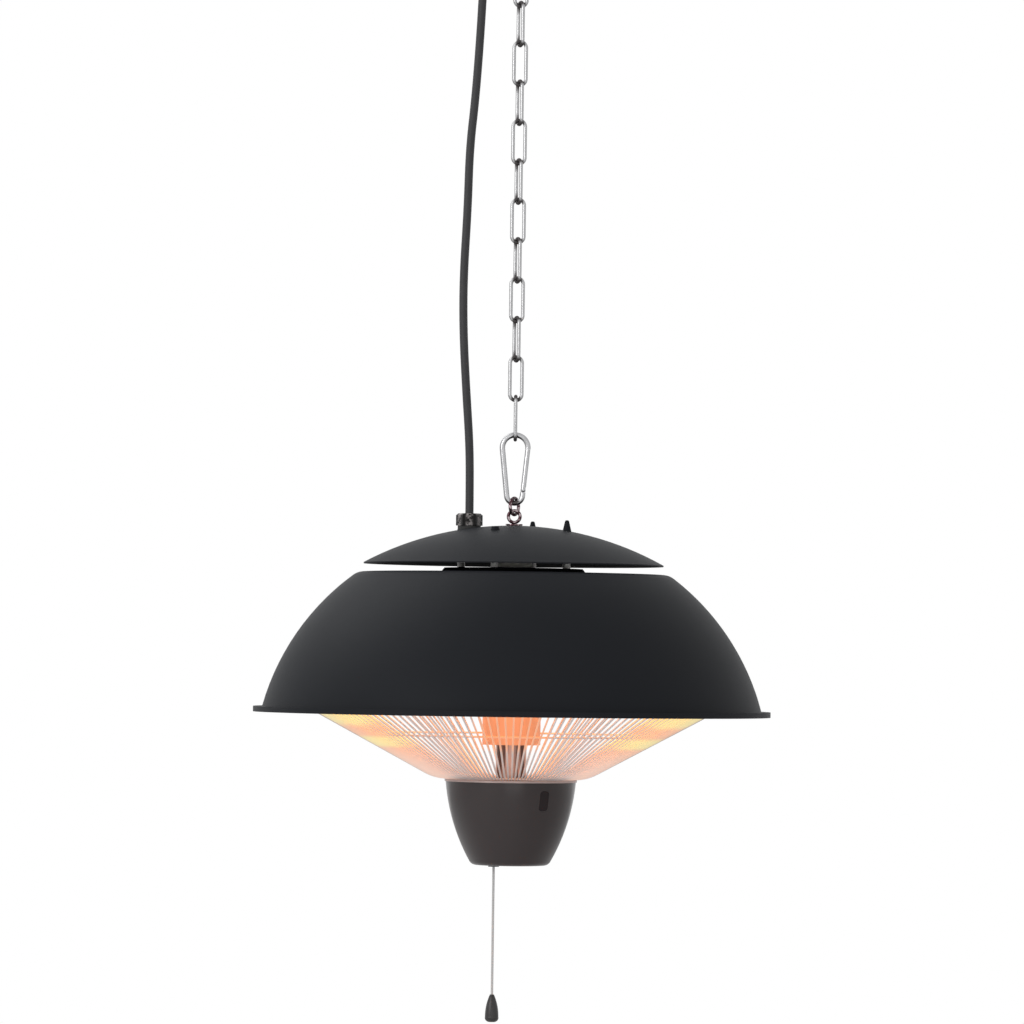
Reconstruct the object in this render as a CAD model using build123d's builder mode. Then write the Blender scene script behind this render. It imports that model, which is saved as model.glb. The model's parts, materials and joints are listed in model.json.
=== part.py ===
from build123d import *
import math
import os

# A patio heater that hangs from a ceiling on a chain. Millimetres, +Z up.
# The origin is the middle of the ceiling plate's upper face, the chain hangs
# down the Z axis, and +X is to the right as one faces the indicator window.

os.makedirs("parts", exist_ok=True)

# Clearances and overruns
arc_share = 0.45  # of the shorter run at a bend of a cord's tube
hang_play = 0.2  # between two links that hang in each other
ring_play = 0.4  # where the ring hangs, as it is turned against both neighbours
seat_gap = 0.1  # between pieces that are bolted face to face
slide_fit = 0.05  # radial, round a pin or a stem
loose_fit = 0.3  # radial, round a stud or a lead
cut_over = 2.0  # how far a cut runs past the face it opens

# Ceiling plate and hook
plate_d = 64.0
plate_thk = 4.0
plate_boss_d = 16.0
plate_boss_h = 5.0
plate_screw_d = 5.0
plate_screw_head_d = 9.6
plate_screw_circle_d = 46.0
plate_screw_count = 3
hook_wire = 5.5
hook_inner_r = 7.0
hook_seat_z = -78.3
hook_swing = 60.0
hook_tip = 5.0

# Chain
link_count = 13
link_wire = 3.0
link_inner_len = 32.7
link_inner_w = 7.0
link_sides = 8
face_turn = 8.0  # of the links seen face-on, as the chain hangs a little twisted
edge_turn = 22.0  # of the links seen nearly edge-on

# Snap hook
snap_wire = 4.5
snap_len = 60.5
snap_w = 25.5
snap_foot_r = 6.5
gate_d = 4.2
gate_pin_d = 1.6
gate_tongue_thk = 1.8
gate_slot_play = 0.15
gate_end_play = 0.25
gate_foot_rise = 5.0

# Connecting ring and eye bolt
ring_wire = 2.8
ring_inner_d = 10.8
ring_turn = 60.0
eye_wire = 2.8
eye_inner_d = 6.8
eye_collar_d = 14.0
eye_collar_thk = 1.2
eye_shank_d = 6.0
eye_nut_flats = 10.0
eye_nut_thk = 5.0

# Lid
lid_d = 246.6
lid_rise = 31.5
lid_sheet = 1.0

# Shade
shade_top_drop = 39.2  # from the crown of the lid to the shade's flat top
shade_boss_h = 4.0
shade_boss_d = 120.0
shade_boss_slope = 3.0
shade_sheet = 1.2
shade_mouth_d = 410.0
shade_depth = 111.5
shade_crown_d = 255.6
shade_corner_r = 14.0
shade_bulge_r = 200.0
rim_d = 425.0
rim_lip = 4.4

# Studs that carry the stack
stud_d = 4.0
stud_circle_d = 92.0
stud_count = 4
stud_phase = 70.4
spacer_d = 6.4
cap_nut_d = 8.0
cap_nut_tip_d = 3.0
cap_nut_round = 1.2
cap_nut_hs = (8.8, 8.8, 2.6, 8.8)  # the front left one is low
stud_nut_flats = 7.0
stud_nut_thk = 3.2

# Mains lead, gland and plug
lead_d = 6.8
gland_x = -36.9
gland_flats = 19.0
gland_seal_thk = 1.0
gland_hex_h = 3.6
gland_nut_h = 6.4
gland_thread_d = 12.0
gland_lock_thk = 3.0
gland_lock_flats = 17.0
gland_nut_d = 22.0  # over the nut's rounded corners
coil_x = -62.5
coil_z = -52.0
coil_r = 44.0
coil_pitch = 7.3  # from one turn, or one layer, to the next
coil_phase = -15.0
coil_half_turns_in = 5
coil_least_gap = 0.4
coil_points = 600
lead_first_run = 24.0
tail_first_run = 14.0
tie_h = 8.0
tie_thk = 1.0
tie_play = 0.5
plug_d = 30.0
plug_len = 26.0
plug_sleeve_len = 22.0
plug_sleeve_d = 9.6
plug_sleeve_root_d = 13.4
plug_pin_d = 4.8
plug_pin_len = 19.0
plug_pin_pitch = 19.0

# Reflector, column and stem
reflector_drop = 28.0  # below the shade's flat top
reflector_sheet = 0.8
reflector_flat_d = 112.0
reflector_inset = 24.0  # from the shade's mouth
reflector_depth = 66.0
reflector_bulge_share = 0.30
column_d = 47.7
column_wall = 1.5
column_flange_d = 106.0
column_len = 112.0
stem_d = 25.0
stem_wall = 1.5
stem_flange_d = 40.0

# Ring lamps
lamp_tube_d = 10.0
lamp_outer_inset = 51.0  # from the reflector's edge to the middle of the tube
lamp_inner_circle = 150.0
lamp_drop = 45.0  # below the middle of the reflector
lamp_gap_angle = 32.0
lamp_cap_w = 12.0
lamp_cap_l = 16.0
clip_rod_d = 2.4
clip_thk = 1.2
clip_count = 3

# Grille
grille_wire = 1.6
grille_count = 72
grille_sides = 6
grille_inset = 16.0  # from the shade's mouth
grille_top_z_drop = 100.0  # below the shade's flat top
grille_slope = 28.3
grille_toe_len = 8.0
grille_hub_d = 68.0
weld_share = 0.8  # of the wire's thickness, from a wire's middle to a ring's
grille_ring_shares = (0.5,)
grille_clip_count = 4
grille_clip_w = 10.0
grille_clip_thk = 1.5

# Bowl
bowl_plate_d = 108.6
bowl_plate_thk = 2.0
bowl_inset = 0.8  # from the plate's edge
bowl_h = 68.3
bowl_floor_d = 63.0
bowl_wall = 2.5
bowl_bulge_r = 160.0
bowl_corner_r = 6.0
stem_nut_flats = 34.0
stem_nut_thk = 4.0
bowl_screw_circle = 44.0
bowl_screw_d = 3.0
bowl_screw_head_d = 5.6
bowl_screw_head_h = 2.4
bowl_post_d = 8.0
bowl_screw_phase = 90.0
window_turn = -58.0
window_w = 8.4
window_h = 16.5
window_drop = 14.5  # from the bowl's edge to the middle of the window
window_play = 0.12

# Pull switch and cord
cord_x = -13.2
cord_d = 2.0
cord_len = 104.0
cord_joint_gap = 0.8
knob_d = 11.1
knob_len = 22.5
knob_neck_d = 3.4
knob_socket = 4.5
knob_shares = ((0.80, 0.36), (1.0, 0.80), (0.84, 0.95), (0.45, 1.0))  # radius, length
bush_d = 6.0
bush_flange_d = 9.0
bush_flange_thk = 1.4
switch_w = 24.0
switch_depth = 13.0
switch_h = 34.0
switch_wall = 1.5
slider_rod_d = 4.0
slider_head_d = 9.0
slider_head_h = 3.0
slider_travel = 12.0
spring_wire = 0.8
spring_d = 7.2
cam_d = 8.0
cam_thk = 4.0
cam_teeth = 8
cam_tooth_depth = 0.8
cam_pin_d = 2.0
terminal_l = 30.0
terminal_w = 16.0
terminal_h = 14.0


def at(radius, degrees, z=0.0):
    """A point on a circle round the Z axis."""
    turn = math.radians(degrees)
    return Vector(radius * math.cos(turn), radius * math.sin(turn), z)


def save(piece, name):
    """Name a finished piece and write it."""
    piece.part.label = name
    export_step(piece.part, f"parts/{name}.step")


# Levels from the hook down: each seat is the top of the wire that carries
link_pitch = link_inner_len - hang_play
snap_seat_z = hook_seat_z - link_count * link_pitch
snap_top_z = snap_seat_z + hang_play + snap_wire
snap_bottom_z = snap_top_z - snap_len
ring_seat_z = snap_bottom_z + snap_wire
ring_z = ring_seat_z + ring_play - ring_inner_d / 2
eye_seat_z = ring_z - ring_inner_d / 2
eye_z = eye_seat_z + ring_play - eye_inner_d / 2
crown_z = eye_z - eye_inner_d / 2 - eye_wire - eye_collar_thk
shade_top_z = crown_z - shade_top_drop
boss_top_z = shade_top_z + shade_boss_h
rim_z = shade_top_z - shade_depth
reflector_z = shade_top_z - reflector_drop
column_top_z = reflector_z - reflector_sheet - seat_gap
column_bottom_z = column_top_z - column_len
grille_top_z = shade_top_z - grille_top_z_drop

# Round plate screwed to the ceiling, with a boss that takes the hook
with BuildPart() as ceiling_plate:
    with BuildSketch(Plane.XY.offset(-plate_thk)):
        Circle(plate_d / 2)
    extrude(amount=plate_thk)
    fillet(ceiling_plate.edges().group_by(Axis.Z)[0], plate_thk / 4)
    with BuildSketch(Plane.XY.offset(-plate_thk)):
        Circle(plate_boss_d / 2)
    extrude(amount=-plate_boss_h)
    with Locations(Plane.XY.offset(-plate_thk).rotated((180, 0, 0))):
        with PolarLocations(plate_screw_circle_d / 2, plate_screw_count):
            CounterSinkHole(plate_screw_d / 2, plate_screw_head_d / 2)
    with Locations((0, 0, -plate_thk - plate_boss_h)):
        Cylinder(
            hook_wire / 2 + slide_fit,
            plate_boss_h + plate_thk / 2,
            align=(Align.CENTER, Align.CENTER, Align.MIN),
            mode=Mode.SUBTRACT,
        )
save(ceiling_plate, "ceiling_plate")

# Open hook bent from round bar: the shank swings out and back under itself,
# so that its bend hangs on the axis
hook_r = hook_inner_r + hook_wire / 2
hook_centre_z = hook_seat_z + hook_inner_r
hook_top_z = -plate_thk / 2 - seat_gap
hook_neck_z = hook_centre_z + 2 * hook_r * math.sin(math.radians(hook_swing))
with BuildPart() as ceiling_hook:
    with BuildLine(Plane.XZ) as hook_line:
        hook_shank = Line((0, hook_top_z), (0, hook_neck_z))
        hook_out = JernArc(hook_shank @ 1, hook_shank % 1, hook_r, -hook_swing)
        hook_bend = JernArc(hook_out @ 1, hook_out % 1, hook_r, hook_swing + 180)
        Line(hook_bend @ 1, (hook_bend @ 1) + (hook_bend % 1) * hook_tip)
    with BuildSketch(Plane(hook_line.line @ 0, z_dir=hook_line.line % 0)):
        Circle(hook_wire / 2)
    sweep()
    tip_edges = ceiling_hook.edges().filter_by(GeomType.CIRCLE)
    fillet(tip_edges.sort_by_distance(hook_line.line @ 1)[0], hook_wire / 4)
save(ceiling_hook, "ceiling_hook")


def link_turn(i):
    """Degrees between a link's face and the XZ plane."""
    if i % 2:
        return face_turn
    return 90 if i in (0, link_count - 1) else 90 + edge_turn


def chain_link(top_z, turn):
    """A long link whose upper bow rests at top_z, turned about the Z axis."""
    bow_r = (link_inner_w + link_wire) / 2
    upper_z = top_z + link_wire / 2 - bow_r
    lower_z = top_z - link_inner_len - link_wire / 2 + bow_r
    with BuildPart() as link:
        with BuildLine(Plane((0, 0, 0), x_dir=at(1, turn), z_dir=at(1, turn - 90))) as loop:
            side = Line((bow_r, lower_z), (bow_r, upper_z))
            bow = JernArc(side @ 1, side % 1, bow_r, 180)
            back = Line(bow @ 1, (-bow_r, lower_z))
            JernArc(back @ 1, back % 1, bow_r, 180)
        with BuildSketch(Plane(side @ 0, z_dir=side % 0)):
            RegularPolygon(
                link_wire / 2, link_sides, major_radius=False, rotation=180 / link_sides
            )
        sweep()
    return link


for i in range(link_count):
    link = chain_link(hook_seat_z + hang_play - i * link_pitch, link_turn(i))
    save(link, f"chain_link_{i + 1:02d}")

# Snap hook: a pear of round wire, wide at the top, open on the right where
# the gate closes it
snap_head_r = (snap_w - snap_wire) / 2
snap_head_z = snap_top_z - snap_w / 2
snap_foot_z = snap_bottom_z + snap_wire / 2 + snap_foot_r
snap_lean = math.asin((snap_head_r - snap_foot_r) / (snap_head_z - snap_foot_z))
lean_cos = math.cos(snap_lean)
lean_sin = math.sin(snap_lean)
nose = Vector(snap_head_r * lean_cos, 0, snap_head_z - snap_head_r * lean_sin)
heel = Vector(snap_foot_r * lean_cos, 0, snap_foot_z - snap_foot_r * lean_sin)
gate_up = (nose - heel).normalized()
gate_foot = heel + gate_up * gate_foot_rise
tongue_clear = gate_d / 2 + gate_end_play

with BuildPart() as carabiner_body:
    with BuildLine(Plane.XZ) as pear:
        head_arc = ThreePointArc(
            (nose.X, nose.Z),
            (0, snap_head_z + snap_head_r),
            (-nose.X, nose.Z),
        )
        spine = Line(head_arc @ 1, (-heel.X, heel.Z))
        foot_arc = ThreePointArc(
            spine @ 1, (0, snap_foot_z - snap_foot_r), (heel.X, heel.Z)
        )
        stop = gate_foot - gate_up * tongue_clear
        Line(foot_arc @ 1, (stop.X, stop.Z))
    with BuildSketch(Plane(nose, z_dir=-gate_up)):
        Circle(snap_wire / 2)
    sweep()
    with BuildSketch(Plane(stop, x_dir=(0, 1, 0), z_dir=gate_up)):
        Rectangle(gate_tongue_thk, gate_d)
    extrude(amount=tongue_clear)
    with BuildSketch(Plane.XZ.offset(-gate_tongue_thk / 2)):
        with Locations((gate_foot.X, gate_foot.Z)):
            Circle(gate_d / 2)
    extrude(amount=gate_tongue_thk)
    with BuildSketch(Plane.XZ.offset(-snap_wire)):
        with Locations((gate_foot.X, gate_foot.Z)):
            Circle(gate_pin_d / 2 + slide_fit)
    extrude(amount=2 * snap_wire, mode=Mode.SUBTRACT)
save(carabiner_body, "carabiner_body")

# Gate: a round bar, forked at its foot, that closes under the nose
gate_len = (nose - gate_foot).length - gate_end_play
with BuildPart() as carabiner_gate:
    with BuildSketch(Plane(gate_foot, z_dir=gate_up)):
        Circle(gate_d / 2)
    extrude(amount=gate_len)
    with Locations(gate_foot):
        Sphere(gate_d / 2)
    with BuildSketch(Plane(gate_foot, x_dir=(0, 1, 0), z_dir=gate_up)):
        Rectangle(gate_tongue_thk + 2 * gate_slot_play, 2 * gate_d)
    extrude(amount=tongue_clear + gate_slot_play, both=True, mode=Mode.SUBTRACT)
    with BuildSketch(Plane.XZ.offset(-snap_wire)):
        with Locations((gate_foot.X, gate_foot.Z)):
            Circle(gate_pin_d / 2 + slide_fit)
    extrude(amount=2 * snap_wire, mode=Mode.SUBTRACT)
save(carabiner_gate, "carabiner_gate")

with BuildPart() as carabiner_pin:
    with BuildSketch(Plane.XZ.offset(-gate_d / 2)):
        with Locations((gate_foot.X, gate_foot.Z)):
            Circle(gate_pin_d / 2)
    extrude(amount=gate_d)
save(carabiner_pin, "carabiner_pin")

# Ring, turned between the snap hook's plane and the eye's
with BuildPart() as link_ring:
    with Locations(Plane(origin=(0, 0, ring_z), z_dir=at(1, ring_turn + 90))):
        Torus((ring_inner_d + ring_wire) / 2, ring_wire / 2)
save(link_ring, "link_ring")

# Eye bolt: its shank runs through lid and shade to a nut below the shade
shank_bottom_z = boss_top_z - 2 * shade_sheet - eye_nut_thk - seat_gap
with BuildPart() as eye_bolt:
    with Locations(Plane(origin=(0, 0, eye_z), z_dir=at(1, 90))):
        Torus((eye_inner_d + eye_wire) / 2, eye_wire / 2)
    with BuildSketch(Plane.XY.offset(crown_z + seat_gap)):
        Circle(eye_collar_d / 2)
    extrude(amount=eye_collar_thk)
    with BuildSketch(Plane.XY.offset(shank_bottom_z)):
        Circle(eye_shank_d / 2)
    extrude(amount=crown_z + eye_collar_thk - shank_bottom_z)
save(eye_bolt, "eye_bolt")

with BuildPart() as eye_nuts:
    for top_z in (crown_z - lid_sheet - seat_gap, boss_top_z - shade_sheet - seat_gap):
        with BuildSketch(Plane.XY.offset(top_z)):
            RegularPolygon(eye_nut_flats / 2, 6, major_radius=False)
            Circle(eye_shank_d / 2 + slide_fit, mode=Mode.SUBTRACT)
        extrude(amount=-eye_nut_thk)
save(eye_nuts, "eye_nuts")

# Lid: a shallow cap of a sphere in thin sheet
lid_sphere_r = ((lid_d / 2) ** 2 + lid_rise**2) / (2 * lid_rise)
lid_centre_z = crown_z - lid_sphere_r
lid_rim_z = crown_z - lid_rise


def lid_level(radius):
    """Height of the lid's upper face at a distance from the axis."""
    return lid_centre_z + math.sqrt(lid_sphere_r**2 - radius**2)


lid_hole_r = eye_shank_d / 2 + loose_fit
lid_half_r = lid_d / 4
with BuildPart() as lid:
    with BuildSketch(Plane.XZ):
        with BuildLine():
            upper = ThreePointArc(
                (lid_hole_r, lid_level(lid_hole_r)),
                (lid_half_r, lid_level(lid_half_r)),
                (lid_d / 2, lid_rim_z),
            )
            edge = Line(upper @ 1, (lid_d / 2, lid_rim_z - lid_sheet))
            under = ThreePointArc(
                edge @ 1,
                (lid_half_r, lid_level(lid_half_r) - lid_sheet),
                (lid_hole_r, lid_level(lid_hole_r) - lid_sheet),
            )
            Line(under @ 1, upper @ 0)
        make_face()
    revolve(axis=Axis.Z)
    with BuildSketch(Plane.XY.offset(lid_rim_z)):
        with PolarLocations(stud_circle_d / 2, stud_count, start_angle=stud_phase):
            Circle(stud_d / 2 + loose_fit)
        with Locations((gland_x, 0)):
            Circle(gland_thread_d / 2 + loose_fit)
    extrude(amount=lid_rise + cut_over, mode=Mode.SUBTRACT)
save(lid, "lid")

# Shade: flat top with a pressed boss, a curved wall and a rolled flat rim
boss_r = shade_boss_d / 2
mouth_r = shade_mouth_d / 2
crown_r = shade_crown_d / 2
wall_chord = Vector(mouth_r - crown_r, rim_z - shade_top_z)
wall_sag = shade_bulge_r - math.sqrt(shade_bulge_r**2 - (wall_chord.length / 2) ** 2)
wall_out = Vector(-wall_chord.Y, wall_chord.X).normalized()
wall_mid = Vector(crown_r, shade_top_z) + wall_chord / 2 + wall_out * wall_sag


def wall_radius(z):
    """Radius of the shade's outer wall at a height."""
    centre = wall_mid - wall_out * shade_bulge_r
    return centre.X + math.sqrt(shade_bulge_r**2 - (z - centre.Y) ** 2)


with BuildPart() as shade:
    with BuildSketch(Plane.XZ):
        with BuildLine() as shade_line:
            boss_slope_r = boss_r - shade_boss_slope
            boss_flat = Line((lid_hole_r, boss_top_z), (boss_slope_r, boss_top_z))
            boss_side = Line(boss_flat @ 1, (boss_r, shade_top_z))
            flat = Line(boss_side @ 1, (crown_r, shade_top_z))
            wall = ThreePointArc(flat @ 1, wall_mid, (mouth_r, rim_z))
            lip = Line(wall @ 1, (rim_d / 2, rim_z))
            Line(lip @ 1, (rim_d / 2, rim_z - rim_lip))
            fillet(shade_line.vertices().sort_by_distance((crown_r, 0, shade_top_z))[0], shade_corner_r)
            offset(amount=shade_sheet, side=Side.RIGHT)
        make_face()
    revolve(axis=Axis.Z)
    with BuildSketch(Plane.XY.offset(boss_top_z)):
        with PolarLocations(stud_circle_d / 2, stud_count, start_angle=stud_phase):
            Circle(stud_d / 2 + loose_fit)
    extrude(amount=cut_over, both=True, mode=Mode.SUBTRACT)
save(shade, "shade")
shade_under_z = shade_top_z - shade_sheet

# Rods, sleeves and nuts that hold lid, shade, reflector and column together
stud_bottom_z = column_top_z - column_wall - seat_gap - stud_nut_thk - stud_d / 2
lid_at_stud_z = lid_level(stud_circle_d / 2 + cap_nut_d / 2)
stud_seat_z = lid_level(stud_circle_d / 2)
stud_turns = [stud_phase + i * 360 / stud_count for i in range(stud_count)]
with BuildPart() as studs:
    for turn, nut_h in zip(stud_turns, cap_nut_hs):
        with BuildSketch(Plane.XY.offset(stud_bottom_z)):
            with PolarLocations(stud_circle_d / 2, 1, start_angle=turn):
                Circle(stud_d / 2)
        extrude(amount=stud_seat_z + nut_h / 2 - stud_bottom_z)
save(studs, "studs")

# Sleeves between shade and lid, and shorter ones between shade and reflector
sleeve_spans = (
    (boss_top_z + seat_gap, lid_at_stud_z - lid_sheet - seat_gap),
    (reflector_z + seat_gap, boss_top_z - shade_sheet - seat_gap),
)
with BuildPart() as stud_spacers:
    for low_z, high_z in sleeve_spans:
        with BuildSketch(Plane.XY.offset(low_z)):
            with PolarLocations(stud_circle_d / 2, stud_count, start_angle=stud_phase):
                Circle(spacer_d / 2)
                Circle(stud_d / 2 + slide_fit, mode=Mode.SUBTRACT)
        extrude(amount=high_z - low_z)
save(stud_spacers, "stud_spacers")

# Pointed nuts on the lid, bored for the studs, with seats shaped to the lid
cap_nut_low_z = lid_level(stud_circle_d / 2 + cap_nut_d / 2) - lid_sheet
cap_nut_slope = (cap_nut_d - cap_nut_tip_d) / 2 / (stud_seat_z + max(cap_nut_hs) - cap_nut_low_z)
with BuildPart() as lid_cap_nuts:
    for turn, nut_h in zip(stud_turns, cap_nut_hs):
        with BuildSketch(Plane.XY.offset(cap_nut_low_z)):
            with PolarLocations(stud_circle_d / 2, 1, start_angle=turn):
                Circle(cap_nut_d / 2)
        extrude(amount=stud_seat_z + nut_h - cap_nut_low_z, taper=math.degrees(math.atan(cap_nut_slope)))
    fillet(lid_cap_nuts.edges().group_by(Axis.Z)[-1], cap_nut_round)
    for turn, nut_h in zip(stud_turns, cap_nut_hs):
        with BuildSketch(Plane.XY.offset(cap_nut_low_z)):
            with PolarLocations(stud_circle_d / 2, 1, start_angle=turn):
                Circle(stud_d / 2 + slide_fit)
        extrude(amount=stud_seat_z + nut_h / 2 + seat_gap - cap_nut_low_z, mode=Mode.SUBTRACT)
    with BuildSketch(Plane.XZ):
        with BuildLine():
            seat = ThreePointArc(
                (0, crown_z + seat_gap),
                (lid_half_r, lid_level(lid_half_r) + seat_gap),
                (lid_d / 2, lid_rim_z + seat_gap),
            )
            Line(seat @ 1, (0, lid_rim_z + seat_gap))
            Line((0, lid_rim_z + seat_gap), seat @ 0)
        make_face()
    revolve(axis=Axis.Z, mode=Mode.SUBTRACT)
save(lid_cap_nuts, "lid_cap_nuts")

with BuildPart() as stud_nuts:
    with BuildSketch(Plane.XY.offset(column_top_z - column_wall - seat_gap)):
        with PolarLocations(stud_circle_d / 2, stud_count, start_angle=stud_phase):
            RegularPolygon(stud_nut_flats / 2, 6, major_radius=False)
            Circle(stud_d / 2 + slide_fit, mode=Mode.SUBTRACT)
    extrude(amount=-stud_nut_thk)
save(stud_nuts, "stud_nuts")

# Terminal block on the shade's boss, under the lid
with BuildPart() as terminal_block:
    with BuildSketch(Plane.XY.offset(boss_top_z + seat_gap)):
        with Locations((0, -eye_nut_flats / 2 - terminal_w)):
            Rectangle(terminal_l, terminal_w)
    extrude(amount=terminal_h)
    with BuildSketch(Plane.XY.offset(boss_top_z + terminal_h + seat_gap)):
        with Locations((0, -eye_nut_flats / 2 - terminal_w)):
            with GridLocations(terminal_l / 3, terminal_w / 2, 3, 2):
                Circle(terminal_w / 8)
    extrude(amount=-terminal_h / 3, mode=Mode.SUBTRACT)
save(terminal_block, "terminal_block")

# Cable gland: two seals shaped to the lid, a threaded body, a dome nut, a
# lock nut, and a rubber insert that grips the lead
gland_r = gland_flats / 2
gland_seat_z = lid_level(abs(gland_x) - gland_r) + gland_seal_thk
gland_nut_z = gland_seat_z + gland_hex_h
gland_top_z = gland_nut_z + gland_nut_h
lead_end_z = gland_nut_z + gland_nut_h / 2
gland_under_z = lid_level(abs(gland_x) + gland_r) - lid_sheet - gland_seal_thk
gland_lock_z = gland_under_z - gland_lock_thk
with BuildPart() as gland_body:
    with BuildSketch(Plane.XY.offset(gland_seat_z)):
        with Locations((gland_x, 0)):
            RegularPolygon(gland_r, 6, major_radius=False)
    extrude(amount=gland_hex_h)
    with BuildSketch(Plane.XY.offset(gland_lock_z)):
        with Locations((gland_x, 0)):
            Circle(gland_thread_d / 2)
    extrude(amount=lead_end_z - gland_lock_z)
save(gland_body, "gland_body")

with BuildPart() as gland_nut:
    with BuildSketch(Plane.XY.offset(gland_nut_z + seat_gap)):
        with Locations((gland_x, 0)):
            RegularPolygon(gland_r, 6, major_radius=False)
    extrude(amount=gland_nut_h - seat_gap)
    with BuildSketch(Plane.XY.offset(gland_nut_z)):
        with Locations((gland_x, 0)):
            Circle(gland_nut_d / 2)
    extrude(amount=gland_nut_h, mode=Mode.INTERSECT)
    chamfer(gland_nut.edges().group_by(Axis.Z)[-1], gland_nut_h / 4)
    with BuildSketch(Plane.XY.offset(gland_nut_z)):
        with Locations((gland_x, 0)):
            Circle(gland_thread_d / 2 + slide_fit)
    extrude(amount=gland_nut_h / 2 + seat_gap, mode=Mode.SUBTRACT)
    with BuildSketch(Plane.XY.offset(gland_nut_z)):
        with Locations((gland_x, 0)):
            Circle(lead_d / 2 + loose_fit)
    extrude(amount=gland_nut_h + cut_over, mode=Mode.SUBTRACT)
save(gland_nut, "gland_nut")

with BuildPart() as gland_seals:
    with BuildSketch(Plane.XY.offset(gland_under_z + seat_gap)):
        with Locations((gland_x, 0)):
            Circle(gland_r)
            Circle(gland_thread_d / 2 + slide_fit, mode=Mode.SUBTRACT)
    extrude(amount=gland_seat_z - seat_gap - gland_under_z - seat_gap)
    with BuildSketch(Plane.XZ):
        with BuildLine():
            over = ThreePointArc(
                (0, crown_z + slide_fit),
                (lid_half_r, lid_level(lid_half_r) + slide_fit),
                (lid_d / 2, lid_rim_z + slide_fit),
            )
            down = Line(over @ 1, (lid_d / 2, lid_rim_z - lid_sheet - slide_fit))
            below = ThreePointArc(
                down @ 1,
                (lid_half_r, lid_level(lid_half_r) - lid_sheet - slide_fit),
                (0, crown_z - lid_sheet - slide_fit),
            )
            Line(below @ 1, over @ 0)
        make_face()
    revolve(axis=Axis.Z, mode=Mode.SUBTRACT)
save(gland_seals, "gland_seals")

with BuildPart() as gland_locknut:
    with BuildSketch(Plane.XY.offset(gland_under_z)):
        with Locations((gland_x, 0)):
            RegularPolygon(gland_lock_flats / 2, 6, major_radius=False)
            Circle(gland_thread_d / 2 + slide_fit, mode=Mode.SUBTRACT)
    extrude(amount=-gland_lock_thk)
save(gland_locknut, "gland_locknut")

# Reflector: a flat middle and a hollow wing, open downward
reflector_r = mouth_r - reflector_inset
flat_r = reflector_flat_d / 2
wing_chord = Vector(reflector_r - flat_r, -reflector_depth)
wing_out = Vector(-wing_chord.Y, wing_chord.X).normalized()
wing_mid = (
    Vector(flat_r, reflector_z)
    + wing_chord / 2
    + wing_out * reflector_depth * reflector_bulge_share
)
with BuildPart() as reflector:
    with BuildSketch(Plane.XZ):
        with BuildLine():
            middle = Line((0, reflector_z), (flat_r, reflector_z))
            ThreePointArc(middle @ 1, wing_mid, (reflector_r, reflector_z - reflector_depth))
            offset(amount=reflector_sheet, side=Side.RIGHT)
        make_face()
    revolve(axis=Axis.Z)
    with BuildSketch(Plane.XY.offset(reflector_z)):
        with PolarLocations(stud_circle_d / 2, stud_count, start_angle=stud_phase):
            Circle(stud_d / 2 + loose_fit)
    extrude(amount=cut_over, both=True, mode=Mode.SUBTRACT)
save(reflector, "reflector")

# Column: a flanged tube with a floor that the stem hangs in
stem_hole_r = stem_d / 2 + slide_fit
with BuildPart() as column_tube:
    with BuildSketch(Plane.XY.offset(column_top_z)):
        Circle(column_flange_d / 2)
        Circle(column_d / 2 - column_wall, mode=Mode.SUBTRACT)
        with PolarLocations(stud_circle_d / 2, stud_count, start_angle=stud_phase):
            Circle(stud_d / 2 + loose_fit, mode=Mode.SUBTRACT)
    extrude(amount=-column_wall)
    with BuildSketch(Plane.XY.offset(column_top_z)):
        Circle(column_d / 2)
        Circle(column_d / 2 - column_wall, mode=Mode.SUBTRACT)
    extrude(amount=-column_len)
    with BuildSketch(Plane.XY.offset(column_bottom_z)):
        Circle(column_d / 2)
        Circle(stem_hole_r, mode=Mode.SUBTRACT)
    extrude(amount=column_wall)
save(column_tube, "column_tube")

# Grille: radial wires bent flat at the toe, with three welded rings
toe_bend_r = bowl_plate_d / 2 + grille_toe_len
grille_r = mouth_r - grille_inset
toe_z = grille_top_z - (grille_r - toe_bend_r) * math.tan(math.radians(grille_slope))
hub_r = grille_hub_d / 2
weld_offset = grille_wire * weld_share
slope_turn = math.radians(grille_slope)
bowl_plate_top_z = toe_z - grille_wire / 2 - seat_gap
with BuildPart() as grille_rod:
    with BuildLine(Plane.XZ) as rod_line:
        Polyline((grille_r, grille_top_z), (toe_bend_r, toe_z), (hub_r, toe_z))
    with BuildSketch(Plane(rod_line.line @ 0, z_dir=rod_line.line % 0)):
        RegularPolygon(grille_wire / 2, grille_sides, major_radius=False)
    sweep(transition=Transition.RIGHT)
with BuildPart() as grille:
    with PolarLocations(0, grille_count):
        add(grille_rod.part)
    with BuildSketch(Plane.XZ):
        for share in (0, *grille_ring_shares):
            down = share * (grille_r - toe_bend_r)
            with Locations(
                (
                    grille_r - down - weld_offset * math.sin(slope_turn),
                    grille_top_z - down * math.tan(slope_turn) + weld_offset * math.cos(slope_turn),
                )
            ):
                RegularPolygon(grille_wire / 2, grille_sides, major_radius=False)
        with Locations((hub_r, toe_z)):
            RegularPolygon(grille_wire / 2, grille_sides, major_radius=False)
    revolve(axis=Axis.Z)
save(grille, "grille")

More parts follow.
